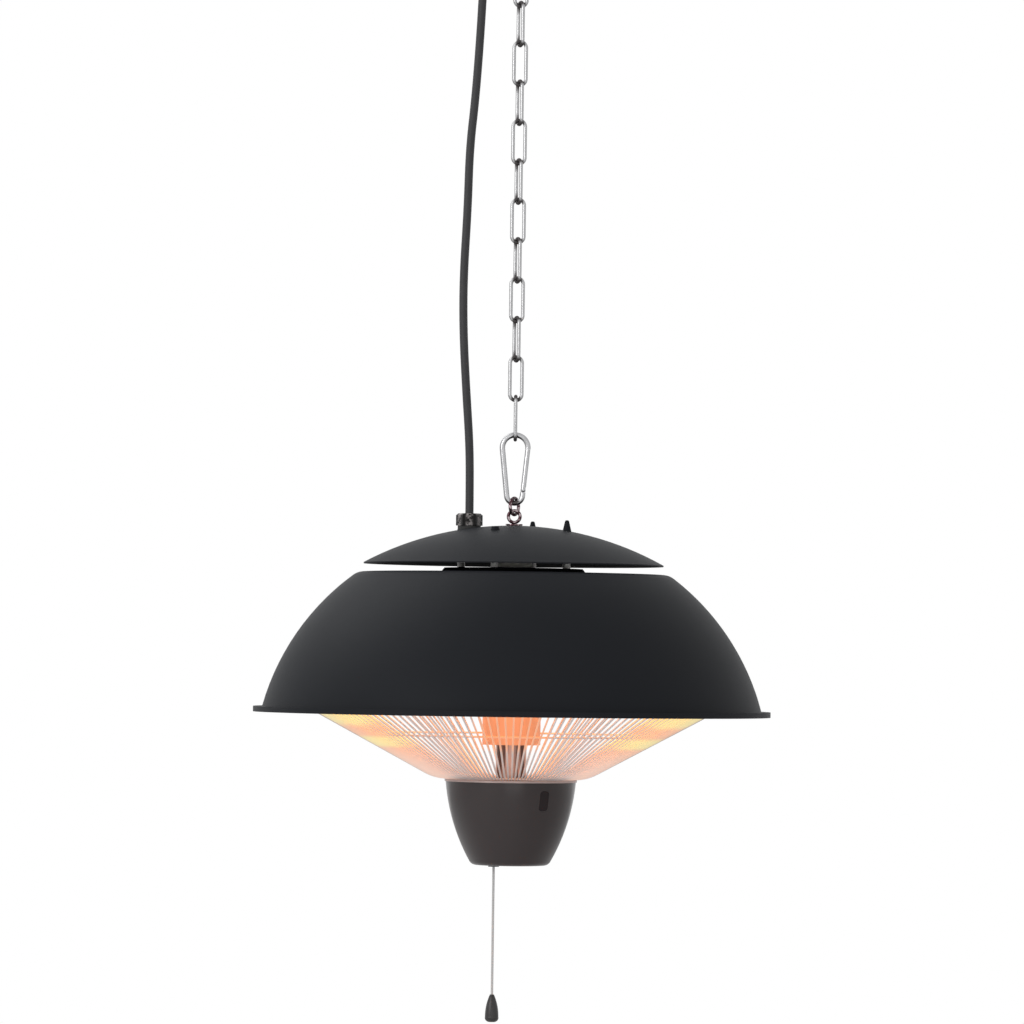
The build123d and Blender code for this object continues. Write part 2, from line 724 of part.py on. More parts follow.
# Brackets that hook the grille's top ring to the shade's wall
clip_low_z = grille_top_z + weld_offset + grille_wire / 2 + seat_gap
clip_reach = wall_radius(clip_low_z + grille_clip_thk) - 2 * shade_sheet
with BuildPart() as grille_clips:
    for i in range(grille_clip_count):
        turn = (i + 0.5) * 360 / grille_clip_count
        arm = Plane(origin=(0, 0, clip_low_z)).rotated((0, 0, turn))
        with BuildSketch(arm):
            with Locations(((clip_reach + grille_r - grille_clip_w / 2) / 2, 0)):
                Rectangle(clip_reach - grille_r + grille_clip_w / 2, grille_clip_w)
        extrude(amount=grille_clip_thk)
        with BuildSketch(arm):
            with Locations((grille_r - grille_clip_w / 2 + grille_clip_thk / 2, 0)):
                Rectangle(grille_clip_thk, grille_clip_w)
        extrude(amount=-grille_wire * 3)
    with BuildSketch(Plane.XY.offset(clip_low_z - grille_wire * 3)):
        with PolarLocations(0, grille_count):
            with Locations((grille_r - grille_clip_w / 2, 0)):
                Rectangle(grille_clip_w, grille_wire + 2 * loose_fit)
    extrude(amount=grille_wire * 3 - seat_gap, mode=Mode.SUBTRACT)
save(grille_clips, "grille_clips")

# Plate on top of the bowl, and the flanged stem that carries it
bowl_top_z = bowl_plate_top_z - bowl_plate_thk - seat_gap
with BuildPart() as bowl_plate:
    with BuildSketch(Plane.XY.offset(bowl_plate_top_z)):
        Circle(bowl_plate_d / 2)
        Circle(stem_hole_r, mode=Mode.SUBTRACT)
    extrude(amount=-bowl_plate_thk)
    chamfer(bowl_plate.edges().group_by(Axis.Z)[-1].sort_by(SortBy.LENGTH)[-1], bowl_plate_thk / 6)
save(bowl_plate, "bowl_plate")

stem_top_z = column_bottom_z + column_wall + seat_gap + column_wall
stem_end_z = bowl_top_z - stem_nut_thk
with BuildPart() as stem_tube:
    with BuildSketch(Plane.XY.offset(stem_end_z)):
        Circle(stem_d / 2)
    extrude(amount=stem_top_z - stem_end_z)
    with BuildSketch(Plane.XY.offset(stem_top_z)):
        Circle(stem_flange_d / 2)
    extrude(amount=-column_wall)
    with BuildSketch(Plane.XY.offset(stem_end_z)):
        Circle(stem_d / 2 - stem_wall)
    extrude(amount=stem_top_z - stem_end_z, mode=Mode.SUBTRACT)
save(stem_tube, "stem_tube")

with BuildPart() as stem_nut:
    with BuildSketch(Plane.XY.offset(bowl_top_z)):
        RegularPolygon(stem_nut_flats / 2, 6, major_radius=False)
        Circle(stem_hole_r, mode=Mode.SUBTRACT)
    extrude(amount=-stem_nut_thk)
save(stem_nut, "stem_nut")

# Ring lamps: quartz tubes bent to a ring with a gap, ceramic ends and clips
lamp_z = reflector_z - lamp_drop
lamp_r = lamp_tube_d / 2
wing_sag = reflector_depth * reflector_bulge_share
wing_r = ((wing_chord.length / 2) ** 2 + wing_sag**2) / (2 * wing_sag)
wing_centre = wing_mid - wing_out * wing_r


def reflector_under(radius):
    """Height of the reflector's lower face at a distance from the axis."""
    inner_r = wing_r - reflector_sheet
    return wing_centre.Y + math.sqrt(inner_r**2 - (radius - wing_centre.X) ** 2)


def hanger_top(circle_r):
    """Top of a rod that hangs from the reflector at a distance from the axis."""
    return reflector_under(circle_r + clip_rod_d / 2) - seat_gap


lamp_circles = {"lamp_outer": reflector_r - lamp_outer_inset, "lamp_inner": lamp_inner_circle / 2}
for name, circle_r in lamp_circles.items():
    with BuildPart() as lamp:
        with BuildSketch(Plane.XZ.rotated((0, 0, lamp_gap_angle / 2))):
            with Locations((circle_r, lamp_z)):
                Circle(lamp_r)
        revolve(axis=Axis.Z, revolution_arc=360 - lamp_gap_angle)
    save(lamp, name)

with BuildPart() as lamp_end_caps:
    for circle_r in lamp_circles.values():
        for sign in (-1, 1):
            cap_off = lamp_cap_l / 2 + loose_fit + lamp_r * lamp_cap_l / 2 / circle_r
            cap_turn = math.degrees(cap_off / circle_r)
            turn = sign * (lamp_gap_angle / 2 - cap_turn)
            cap = Plane(origin=at(circle_r, turn, lamp_z)).rotated((0, 0, turn))
            with BuildSketch(cap.offset(-lamp_cap_w / 2)):
                Rectangle(lamp_cap_w, lamp_cap_l - seat_gap)
            extrude(amount=lamp_cap_w)
            with BuildSketch(cap):
                Circle(clip_rod_d / 2)
            extrude(amount=hanger_top(circle_r) - lamp_z)
save(lamp_end_caps, "lamp_end_caps")

with BuildPart() as lamp_clips:
    for circle_r in lamp_circles.values():
        for i in range(clip_count):
            turn = (i + 0.5) * (360 - lamp_gap_angle) / clip_count + lamp_gap_angle / 2
            spot = at(circle_r, turn, lamp_z)
            around = Plane(origin=spot, x_dir=at(1, turn), z_dir=at(1, turn + 90))
            with BuildSketch(Plane(origin=spot)):
                Circle(clip_rod_d / 2)
            extrude(amount=hanger_top(circle_r) - lamp_z)
            with BuildSketch(around):
                Circle(lamp_r + loose_fit + clip_thk)
            extrude(amount=clip_rod_d, both=True)
            with BuildSketch(around):
                Circle(lamp_r + loose_fit)
            extrude(amount=2 * clip_rod_d, both=True, mode=Mode.SUBTRACT)
save(lamp_clips, "lamp_clips")

# Bowl: a moulded cup with screw posts and a window
bowl_floor_z = bowl_top_z - bowl_h
bowl_r = bowl_plate_d / 2 - bowl_inset
floor_r = bowl_floor_d / 2
side_chord = Vector(bowl_r - floor_r, bowl_h)
side_sag = bowl_bulge_r - math.sqrt(bowl_bulge_r**2 - (side_chord.length / 2) ** 2)
side_out = Vector(side_chord.Y, -side_chord.X).normalized()
side_mid = Vector(floor_r, bowl_floor_z) + side_chord / 2 + side_out * side_sag
window_z = bowl_top_z - window_drop
window_plane = Plane(
    origin=at(bowl_r / 2, window_turn, window_z), x_dir=at(1, window_turn + 90), z_dir=at(1, window_turn)
)
with BuildPart() as bowl_form:
    with BuildSketch(Plane.XZ):
        with BuildLine():
            floor = Line((0, bowl_floor_z), (floor_r, bowl_floor_z))
            side = ThreePointArc(floor @ 1, side_mid, (bowl_r, bowl_top_z))
            mouth = Line(side @ 1, (0, bowl_top_z))
            Line(mouth @ 1, floor @ 0)
        make_face()
    revolve(axis=Axis.Z)
    fillet(bowl_form.faces().sort_by(Axis.Z)[0].edges(), bowl_corner_r)
    offset(amount=-bowl_wall, openings=bowl_form.faces().sort_by(Axis.Z)[-1])

floor_in_z = bowl_floor_z + bowl_wall
with BuildPart() as bowl_shell:
    add(bowl_form.part)
    with BuildSketch(Plane.XY.offset(floor_in_z - bowl_wall / 2)):
        with PolarLocations(bowl_screw_circle / 2, 3, start_angle=bowl_screw_phase):
            Circle(bowl_post_d / 2)
    extrude(amount=bowl_top_z - floor_in_z + bowl_wall / 2)
    with BuildSketch(window_plane):
        RectangleRounded(window_w, window_h, window_w / 3)
    extrude(amount=bowl_r, mode=Mode.SUBTRACT)
    with BuildSketch(Plane.XY.offset(bowl_floor_z)):
        with PolarLocations(bowl_screw_circle / 2, 3, start_angle=bowl_screw_phase):
            Circle(bowl_screw_d / 2 + slide_fit)
        with Locations((cord_x, 0)):
            Circle(bush_d / 2 + slide_fit)
    extrude(amount=bowl_h, mode=Mode.SUBTRACT)
    with BuildSketch(Plane.XY.offset(bowl_floor_z)):
        with PolarLocations(bowl_screw_circle / 2, 3, start_angle=bowl_screw_phase):
            Circle(bowl_screw_head_d / 2 + loose_fit)
    extrude(amount=bowl_screw_head_h, mode=Mode.SUBTRACT)
save(bowl_shell, "bowl_shell")

with BuildPart() as bowl_screws:
    with BuildSketch(Plane.XY.offset(bowl_floor_z)):
        with PolarLocations(bowl_screw_circle / 2, 3, start_angle=bowl_screw_phase):
            Circle(bowl_screw_head_d / 2)
    extrude(amount=bowl_screw_head_h - seat_gap)
    with BuildSketch(Plane.XY.offset(bowl_floor_z)):
        with PolarLocations(bowl_screw_circle / 2, 3, start_angle=bowl_screw_phase):
            Circle(bowl_screw_d / 2)
    extrude(amount=bowl_h - seat_gap)
save(bowl_screws, "bowl_screws")

with BuildPart() as indicator_lens:
    add(bowl_form.part)
    with BuildSketch(window_plane):
        RectangleRounded(window_w - 2 * window_play, window_h - 2 * window_play, window_w / 3 - window_play)
    extrude(amount=bowl_r, mode=Mode.INTERSECT)
save(indicator_lens, "indicator_lens")

# Pull switch on the bowl's floor: case, slider on a spring, ratchet wheel
case_low_z = floor_in_z + seat_gap
case_x = cord_x + switch_w / 8
case_mid_z = case_low_z + switch_h / 2
slider_top_z = case_low_z + switch_h - switch_wall - loose_fit
slider_under_z = slider_top_z - slider_head_h
cam_x = cord_x + slider_head_d / 2 + loose_fit + cam_d / 2
cam_z = slider_under_z - slider_travel
with BuildPart() as switch_case:
    with BuildSketch(Plane.XY.offset(case_low_z)):
        with Locations((case_x, 0)):
            Rectangle(switch_w, switch_depth)
    extrude(amount=switch_h)
    with BuildSketch(Plane.XY.offset(case_low_z + switch_wall)):
        with Locations((case_x, 0)):
            Rectangle(switch_w - 2 * switch_wall, switch_depth - 2 * switch_wall)
    extrude(amount=switch_h - 2 * switch_wall, mode=Mode.SUBTRACT)
    with BuildSketch(Plane.XZ.offset(-switch_depth / 2 + switch_wall / 2)):
        with Locations((cam_x, cam_z)):
            Circle(cam_pin_d / 2)
    extrude(amount=switch_depth - switch_wall)
    with BuildSketch(Plane.XY.offset(case_low_z)):
        with Locations((cord_x, 0)):
            Circle(cord_d / 2 + loose_fit)
    extrude(amount=2 * switch_wall, mode=Mode.SUBTRACT)
save(switch_case, "switch_case")

rod_end_z = case_low_z + switch_wall + slider_travel + loose_fit
with BuildPart() as switch_slider:
    with BuildSketch(Plane.XY.offset(slider_top_z)):
        with Locations((cord_x, 0)):
            Circle(slider_head_d / 2)
    extrude(amount=-slider_head_h)
    with BuildSketch(Plane.XY.offset(slider_top_z)):
        with Locations((cord_x, 0)):
            Circle(slider_rod_d / 2)
    extrude(amount=rod_end_z - slider_top_z)
save(switch_slider, "switch_slider")

with BuildPart() as switch_spring:
    with BuildSketch(Plane.XY.offset(case_low_z + switch_wall + slide_fit)):
        with Locations((cord_x, 0)):
            Circle(spring_d / 2)
            Circle(spring_d / 2 - spring_wire, mode=Mode.SUBTRACT)
    extrude(amount=slider_under_z - 2 * slide_fit - case_low_z - switch_wall)
save(switch_spring, "switch_spring")

with BuildPart() as switch_cam:
    with BuildSketch(Plane.XZ.offset(-cam_thk / 2)):
        with Locations((cam_x, cam_z)):
            Circle(cam_d / 2)
            Circle(cam_pin_d / 2 + slide_fit, mode=Mode.SUBTRACT)
            with PolarLocations(cam_d / 2, cam_teeth):
                Circle(cam_tooth_depth, mode=Mode.SUBTRACT)
    extrude(amount=cam_thk)
save(switch_cam, "switch_cam")

mouth_z = bowl_floor_z - bush_flange_thk - seat_gap
with BuildPart() as cord_bush:
    with BuildSketch(Plane.XY.offset(mouth_z)):
        with Locations((cord_x, 0)):
            Circle(bush_flange_d / 2)
    extrude(amount=bush_flange_thk)
    with BuildSketch(Plane.XY.offset(mouth_z)):
        with Locations((cord_x, 0)):
            Circle(bush_d / 2)
    extrude(amount=floor_in_z - mouth_z)
    with BuildSketch(Plane.XY.offset(mouth_z)):
        with Locations((cord_x, 0)):
            Circle(cord_d / 2 + loose_fit)
    extrude(amount=bowl_wall + 2 * bush_flange_thk, mode=Mode.SUBTRACT)
save(cord_bush, "cord_bush")

# Pull cord: the run inside the bowl slides, the run below also swings
with BuildPart() as pull_cord_top:
    with BuildSketch(Plane.XY.offset(mouth_z)):
        with Locations((cord_x, 0)):
            Circle(cord_d / 2)
    extrude(amount=rod_end_z - slide_fit - mouth_z)
save(pull_cord_top, "pull_cord_top")

cord_top_z = mouth_z - cord_joint_gap
knob_top_z = cord_top_z - cord_len
with BuildPart() as pull_cord:
    with BuildSketch(Plane.XY.offset(cord_top_z)):
        with Locations((cord_x, 0)):
            Circle(cord_d / 2)
    extrude(amount=-cord_len - knob_socket + slide_fit)
save(pull_cord, "pull_cord")

knob_r = knob_d / 2
with BuildPart() as pull_knob:
    with BuildSketch(Plane.XZ):
        with BuildLine():
            socket_x = cord_x + cord_d / 2 + slide_fit
            socket_z = knob_top_z - knob_socket
            spots = [
                (cord_x + knob_r * out, knob_top_z - knob_len * down) for out, down in knob_shares
            ]
            crest = Line((socket_x, knob_top_z), (cord_x + knob_neck_d / 2, knob_top_z))
            flank = ThreePointArc(crest @ 1, spots[0], spots[1])
            tip = ThreePointArc(flank @ 1, spots[2], spots[3])
            Polyline(
                tip @ 1,
                (cord_x, knob_top_z - knob_len),
                (cord_x, socket_z),
                (socket_x, socket_z),
                crest @ 0,
            )
        make_face()
    revolve(axis=Axis((cord_x, 0, 0), (0, 0, 1)))
save(pull_knob, "pull_knob")

# Mains lead. The spare length lies in a coil beside the hook, wound in two
# layers: inwards, over to the second layer in one half turn, and out again
phase = math.radians(coil_phase)
coil_u = Vector(math.cos(phase), 0, math.sin(phase))
coil_t = Vector(-math.sin(phase), 0, math.cos(phase))
coil_middle = Vector(coil_x, 0, coil_z)
half_step = coil_pitch / 2
half_turns = [(coil_r - i * half_step, 0) for i in range(coil_half_turns_in)]
inmost_r = coil_r - coil_half_turns_in * half_step
half_turns += [(inmost_r, coil_pitch)]
half_turns += [(inmost_r + (i + 1) * half_step, 0) for i in range(coil_half_turns_in)]
coil_start = coil_middle + coil_u * coil_r
with BuildPart() as mains_coil:
    with BuildLine() as coil_line:
        Line(coil_start - coil_t * lead_d, coil_start)
        place, side = coil_start, -1
        for radius, climb in half_turns:
            across = coil_u * (2 * radius * side) + Vector(0, climb, 0)
            middle = place + across / 2 - coil_t * (side * across.length / 2)
            ThreePointArc(place, middle, place + across)
            place, side = place + across, -side
        coil_end = place - coil_t * lead_d
        Line(place, coil_end)
    with BuildSketch(Plane(coil_start - coil_t * lead_d, z_dir=coil_t)):
        Circle(lead_d / 2)
    sweep()
save(mains_coil, "mains_coil")

# The least gap between two turns, measured on points along the coil
coil_wire = coil_line.wires()[0]
coil_marks = [coil_wire @ (i / coil_points) for i in range(coil_points + 1)]
apart = math.ceil(math.pi * inmost_r / 2 / (coil_wire.length / coil_points))
coil_gap = min(
    (coil_marks[i] - coil_marks[j]).length
    for i in range(coil_points + 1)
    for j in range(i + apart, coil_points + 1)
) - lead_d
print("coil length", round(coil_wire.length), "least gap to itself", round(coil_gap, 2))
assert coil_gap > coil_least_gap


def tube_along(route, diameter):
    """A tube on straight runs joined by arcs as large as the runs allow."""
    radii = []
    for before, here, after in zip(route, route[1:], route[2:]):
        half_turn = math.radians((here - before).get_angle(after - here)) / 2
        shorter = min((here - before).length, (after - here).length)
        radii.append(arc_share * shorter / math.tan(half_turn))
    print("  arc radii", [round(r) for r in radii], "runs", [
        round((b - a).length) for a, b in zip(route, route[1:])
    ])
    with BuildPart() as tube:
        with BuildLine() as path:
            FilletPolyline(*route, radius=radii)
        with BuildSketch(Plane(route[0], z_dir=(route[1] - route[0]).normalized())):
            Circle(diameter / 2)
        sweep()
    section = math.pi * (diameter / 2) ** 2
    length = path.wires()[0].length
    print("  length", round(length, 1), "volume over section times length",
          round(tube.part.volume / (section * length), 4))
    return tube


lead_top = coil_start - coil_t * lead_d
lead_route = [
    lead_top,
    lead_top - coil_t * lead_first_run,
    Vector(-31.0, 0.5, -124.0),
    Vector(-33.0, 1.0, -168.0),
    Vector(-36.4, 1.0, -221.0),
    Vector(-40.6, 0.5, -262.0),
    Vector(-41.6, 0.0, -313.0),
    Vector(-44.3, -0.5, -366.0),
    Vector(-44.0, -0.5, -412.0),
    Vector(-40.9, 0.0, -462.0),
    Vector(-37.6, 0.0, -505.0),
    Vector(gland_x, 0.0, -538.0),
    Vector(gland_x, 0.0, lead_end_z),
]
mains_lead = tube_along(lead_route, lead_d)
save(mains_lead, "mains_lead")

tail_route = [
    coil_end,
    coil_end - coil_t * tail_first_run,
    Vector(-126.0, coil_pitch, -76.1),
    Vector(-136.7, coil_pitch, -85.1),
]
mains_tail = tube_along(tail_route, lead_d)
save(mains_tail, "mains_tail")

# Tie that holds the coil to the hook's shank
tie_low_x = coil_x + (inmost_r - half_step) * coil_u.X - lead_d / 2 - tie_play
tie_high_x = hook_wire / 2 + tie_play
tie_low_y = -lead_d / 2 - tie_play
tie_high_y = coil_pitch + lead_d / 2 + tie_play
with BuildPart() as lead_tie:
    with BuildSketch(Plane.XY.offset(coil_z - tie_h / 2)):
        with Locations(((tie_low_x + tie_high_x) / 2, (tie_low_y + tie_high_y) / 2)):
            inner_x = tie_high_x - tie_low_x
            inner_y = tie_high_y - tie_low_y
            RectangleRounded(inner_x + 2 * tie_thk, inner_y + 2 * tie_thk, hook_wire / 2)
            RectangleRounded(
                inner_x, inner_y, hook_wire / 2 - tie_thk, mode=Mode.SUBTRACT
            )
    extrude(amount=tie_h)
save(lead_tie, "lead_tie")

# Plug at the end of the tail: a tapered sleeve, a round body and two pins
tail_end = tail_route[-1]
plug_axis = (tail_end - tail_route[-2]).normalized()
plug_plane = Plane(origin=tail_end, x_dir=(0, 1, 0), z_dir=plug_axis)
face_plane = plug_plane.offset(plug_sleeve_len + plug_len)
with BuildPart() as mains_plug:
    with BuildSketch(plug_plane):
        Circle(plug_sleeve_d / 2)
    with BuildSketch(plug_plane.offset(plug_sleeve_len)):
        Circle(plug_sleeve_root_d / 2)
    loft()
    with BuildSketch(plug_plane.offset(plug_sleeve_len)):
        Circle(plug_d / 2)
    extrude(amount=plug_len)
    fillet(mains_plug.edges().filter_by(GeomType.CIRCLE).sort_by(SortBy.RADIUS)[-2:], plug_d / 10)
    with BuildSketch(face_plane):
        with GridLocations(plug_pin_pitch, 0, 2, 1):
            Circle(plug_pin_d / 2 + slide_fit)
    extrude(amount=-plug_len / 3, mode=Mode.SUBTRACT)
save(mains_plug, "mains_plug")

with BuildPart() as plug_pins:
    with BuildSketch(face_plane.offset(-plug_len / 3 + seat_gap)):
        with GridLocations(plug_pin_pitch, 0, 2, 1):
            Circle(plug_pin_d / 2)
    extrude(amount=plug_len / 3 - seat_gap + plug_pin_len)
    fillet(plug_pins.edges().group_by(SortBy.DISTANCE)[-1], plug_pin_d / 4)
save(plug_pins, "plug_pins")
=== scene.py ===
import json
import math

import bpy
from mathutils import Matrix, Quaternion, Vector

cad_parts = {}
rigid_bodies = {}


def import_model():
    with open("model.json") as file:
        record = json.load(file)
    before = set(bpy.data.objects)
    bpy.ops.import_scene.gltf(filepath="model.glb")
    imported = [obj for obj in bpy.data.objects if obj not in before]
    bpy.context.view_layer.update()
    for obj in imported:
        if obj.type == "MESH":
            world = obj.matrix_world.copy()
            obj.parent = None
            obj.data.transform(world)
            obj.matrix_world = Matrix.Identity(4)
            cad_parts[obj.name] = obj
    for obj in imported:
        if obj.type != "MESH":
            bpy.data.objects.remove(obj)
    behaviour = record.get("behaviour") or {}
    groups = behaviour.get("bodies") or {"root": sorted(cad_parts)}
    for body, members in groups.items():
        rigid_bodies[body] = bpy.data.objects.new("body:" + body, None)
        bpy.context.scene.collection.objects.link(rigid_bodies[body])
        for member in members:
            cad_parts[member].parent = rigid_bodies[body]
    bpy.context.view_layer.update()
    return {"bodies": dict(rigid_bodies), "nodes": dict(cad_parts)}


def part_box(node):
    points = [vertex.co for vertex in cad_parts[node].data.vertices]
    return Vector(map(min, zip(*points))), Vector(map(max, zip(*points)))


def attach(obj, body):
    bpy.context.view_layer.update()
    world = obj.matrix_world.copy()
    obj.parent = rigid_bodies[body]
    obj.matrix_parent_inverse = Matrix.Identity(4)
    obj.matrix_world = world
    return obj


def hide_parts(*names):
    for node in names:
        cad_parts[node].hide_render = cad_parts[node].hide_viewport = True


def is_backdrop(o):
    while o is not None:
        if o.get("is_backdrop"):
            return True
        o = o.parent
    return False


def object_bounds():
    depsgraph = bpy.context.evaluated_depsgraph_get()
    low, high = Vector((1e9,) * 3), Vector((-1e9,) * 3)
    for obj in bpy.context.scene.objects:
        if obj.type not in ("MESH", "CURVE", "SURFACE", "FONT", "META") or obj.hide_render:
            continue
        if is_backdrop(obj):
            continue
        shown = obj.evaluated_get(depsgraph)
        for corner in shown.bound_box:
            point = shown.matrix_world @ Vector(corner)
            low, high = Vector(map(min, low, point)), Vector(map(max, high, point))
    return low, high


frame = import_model()
scene = bpy.context.scene
scene.view_settings.view_transform = "Standard"

# Studio. The camera stands level with the heater, a little above its middle,
# and looks up and rolls a little, as the heater hangs askew in the picture.
# The floor is light; the world is white to the eye and dimmer as a light.
across = 0.842
away = 4.7
sensor_mm = 36.0
aim = Vector((-0.0019, 0.0, -0.5617))
rise = math.radians(-1.4)
roll = math.radians(0.75)
back = Vector((0.0, -math.cos(rise), math.sin(rise)))
camera = bpy.data.objects.new("camera", bpy.data.cameras.new("camera"))
camera.data.lens = sensor_mm * away / across
camera.data.clip_end = 60.0
camera.location = aim + back * away
camera.rotation_mode = "QUATERNION"
camera.rotation_quaternion = (-back).to_track_quat("-Z", "Y") @ Quaternion((0, 0, 1), roll)
scene.collection.objects.link(camera)
scene.camera = camera

lit_spot = Vector((0.0, 0.0, -0.65))
for name, place, size, power in (
    ("key", (-1.2, 0.5, 0.9), 1.5, 15.0),
    ("front", (-1.9, -2.2, 0.2), 1.4, 30.0),
    ("fill", (2.2, -2.0, -0.3), 1.8, 2.0),
    ("under", (0.2, -1.8, -1.15), 1.0, 3.0),
):
    lamp = bpy.data.objects.new(name, bpy.data.lights.new(name, "AREA"))
    lamp.data.size = size
    lamp.data.energy = power
    lamp.location = place
    lamp.rotation_euler = (lit_spot - Vector(place)).to_track_quat("-Z", "Y").to_euler()
    scene.collection.objects.link(lamp)


class Signal:
    """A shader socket. Sums and products of signals add their Math nodes."""

    def __init__(self, tree, socket):
        self.tree = tree
        self.socket = socket

    def sum(self, kind, other, flip=False):
        node = self.tree.nodes.new("ShaderNodeMath")
        node.operation = kind
        for slot, value in zip(node.inputs, (other, self) if flip else (self, other)):
            if isinstance(value, Signal):
                self.tree.links.new(value.socket, slot)
            else:
                slot.default_value = value
        return Signal(self.tree, node.outputs[0])

    def __add__(self, other):
        return self.sum("ADD", other)

    __radd__ = __add__

    def __mul__(self, other):
        return self.sum("MULTIPLY", other)

    __rmul__ = __mul__

    def __sub__(self, other):
        return self.sum("SUBTRACT", other)

    def __rsub__(self, other):
        return self.sum("SUBTRACT", other, flip=True)

    def __truediv__(self, other):
        return self.sum("DIVIDE", other)

    def __pow__(self, other):
        return self.sum("POWER", other)

    def of(self, kind):
        """A function of this signal alone, such as its sine."""
        return self.sum(kind, 0.0)

    def wave(self, rate):
        """Waves between 0 and 1, of so many radians a metre."""
        return (self * rate).of("SINE") * 0.5 + 0.5


class Finish:
    """One finish: a material, its shader, and the nodes that feed it."""

    def __init__(self, name, **constants):
        self.material = bpy.data.materials.new(name)
        self.material.use_nodes = True
        self.tree = self.material.node_tree
        self.shader = self.tree.nodes["Principled BSDF"]
        self.place = self.node("ShaderNodeTexCoord", out="Object")
        self.feed(**constants)

    def feed(self, **values):
        """Set or link the shader's sockets, named with _ for a space."""
        for name, value in values.items():
            slot = self.shader.inputs[name.replace("_", " ")]
            if isinstance(value, Signal):
                self.tree.links.new(value.socket, slot)
            else:
                slot.default_value = value

    def node(self, kind, settings=None, out=0, **sockets):
        """A node's output. Sockets go by name, or by number as i0, i1."""
        node = self.tree.nodes.new(kind)
        for name, value in (settings or {}).items():
            setattr(node, name, value)
        for name, value in sockets.items():
            slot = node.inputs[int(name[1:]) if name[1:].isdigit() else name.replace("_", " ")]
            if isinstance(value, Signal):
                self.tree.links.new(value.socket, slot)
            else:
                slot.default_value = value
        return Signal(self.tree, node.outputs[out])

    def blend(self, share, first, second):
        """A colour between two, which may be colours or signals."""
        settings = {"data_type": "RGBA", "clamp_factor": True}
        return self.node("ShaderNodeMix", settings, 2, i0=share, i6=first, i7=second)

    def step(self, value, low, high):
        """0 below low, 1 above high, and smooth between them."""
        return self.node(
            "ShaderNodeMapRange", {"interpolation_type": "SMOOTHSTEP"},
            Value=value, From_Min=low, From_Max=high,
        )

    def cloud(self, scale, detail=3.0, stretch=(1, 1, 1)):
        """Noise of one scale, in cells a metre, stretched along an axis."""
        spot = self.node("ShaderNodeMapping", Vector=self.place, Scale=stretch)
        return self.node(
            "ShaderNodeTexNoise", Vector=spot, Scale=scale, Detail=detail, Roughness=0.55
        )

    def axes(self):
        """X, Y and Z, in metres."""
        node = self.tree.nodes.new("ShaderNodeSeparateXYZ")
        self.tree.links.new(self.place.socket, node.inputs[0])
        return [Signal(self.tree, s) for s in node.outputs]

    def from_axis(self):
        """The distance from the Z axis, in metres."""
        x, y, _ = self.axes()
        return (x * x + y * y) ** 0.5

    def attribute(self, name):
        return self.node("ShaderNodeAttribute", {"attribute_name": name}, "Fac")

    def relief(self, height, depth, strength):
        bump = self.node("ShaderNodeBump", Height=height, Distance=depth, Strength=strength)
        self.feed(Normal=bump)
        return self

    def on(self, *names):
        """Give this finish to CAD nodes, which stay as they are."""
        for name in names:
            mesh = frame["nodes"][name].data
            mesh.materials.clear()
            mesh.materials.append(self.material)


floor_z = -1.3
floor_half = 4.0
floor_finish = Finish("studio_floor", Roughness=0.9)
floor_finish.feed(
    Base_Color=floor_finish.blend(
        floor_finish.cloud(6.0), (0.86, 0.86, 0.86, 1), (0.88, 0.88, 0.88, 1)
    )
)
corners = [
    (floor_half * side_x, floor_half * side_y, floor_z)
    for side_x, side_y in ((-1, -1), (1, -1), (1, 1), (-1, 1))
]
floor_mesh = bpy.data.meshes.new("floor")
floor_mesh.from_pydata(corners, [], [(0, 1, 2, 3)])
floor_mesh.materials.append(floor_finish.material)
studio_floor = bpy.data.objects.new("studio_floor", floor_mesh)
scene.collection.objects.link(studio_floor)
studio_floor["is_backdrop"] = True

white = (1, 1, 1, 1)
world = bpy.data.worlds.new("studio")
world.use_nodes = True
scene.world = world
sky = world.node_tree
sky_light = sky.nodes["Background"]
sky_light.inputs["Color"].default_value = white
sky_light.inputs["Strength"].default_value = 0.5
sky_white = sky.nodes.new("ShaderNodeBackground")
sky_white.inputs["Color"].default_value = white
sky_white.inputs["Strength"].default_value = 1.0
ray = sky.nodes.new("ShaderNodeLightPath")
by_eye, by_gloss, by_glass = (
    Signal(sky, ray.outputs[kind])
    for kind in ("Is Camera Ray", "Is Glossy Ray", "Is Transmission Ray")
)
seen = by_eye.sum("MAXIMUM", by_gloss).sum("MAXIMUM", by_glass)
sky_mix = sky.nodes.new("ShaderNodeMixShader")
sky.links.new(seen.socket, sky_mix.inputs[0])
sky.links.new(sky_light.outputs[0], sky_mix.inputs[1])
sky.links.new(sky_white.outputs[0], sky_mix.inputs[2])
sky.links.new(sky_mix.outputs[0], sky.nodes["World Output"].inputs[0])

# Mains lead: one length of round rubber cable that leaves the gland on the
# lid, rises beside the chain, and is coiled and tied beside the ceiling hook.
lead_thick = 0.0068
gland_x = -0.0369
coil_middle = Vector((-0.0625, 0.0, -0.052))
coil_turn = math.radians(-15.0)
coil_outer = 0.044
coil_step = 0.0073
coil_half_turns_in = 5
arc_marks = 8
run_in = 0.024
run_out = 0.014
coil_u = Vector((math.cos(coil_turn), 0.0, math.sin(coil_turn)))
coil_t = Vector((-math.sin(coil_turn), 0.0, math.cos(coil_turn)))
lead_points = [
    (gland_x, 0.0, -0.5666),
    (gland_x, 0.0, -0.538),
    (-0.0376, 0.0, -0.505),
    (-0.0409, 0.0, -0.462),
    (-0.0440, -0.0005, -0.412),
    (-0.0443, -0.0005, -0.366),
    (-0.0416, 0.0, -0.313),
    (-0.0406, 0.0005, -0.262),
    (-0.0364, 0.001, -0.221),
    (-0.0330, 0.001, -0.168),
    (-0.0310, 0.0005, -0.124),
]
spot = coil_middle + coil_u * coil_outer
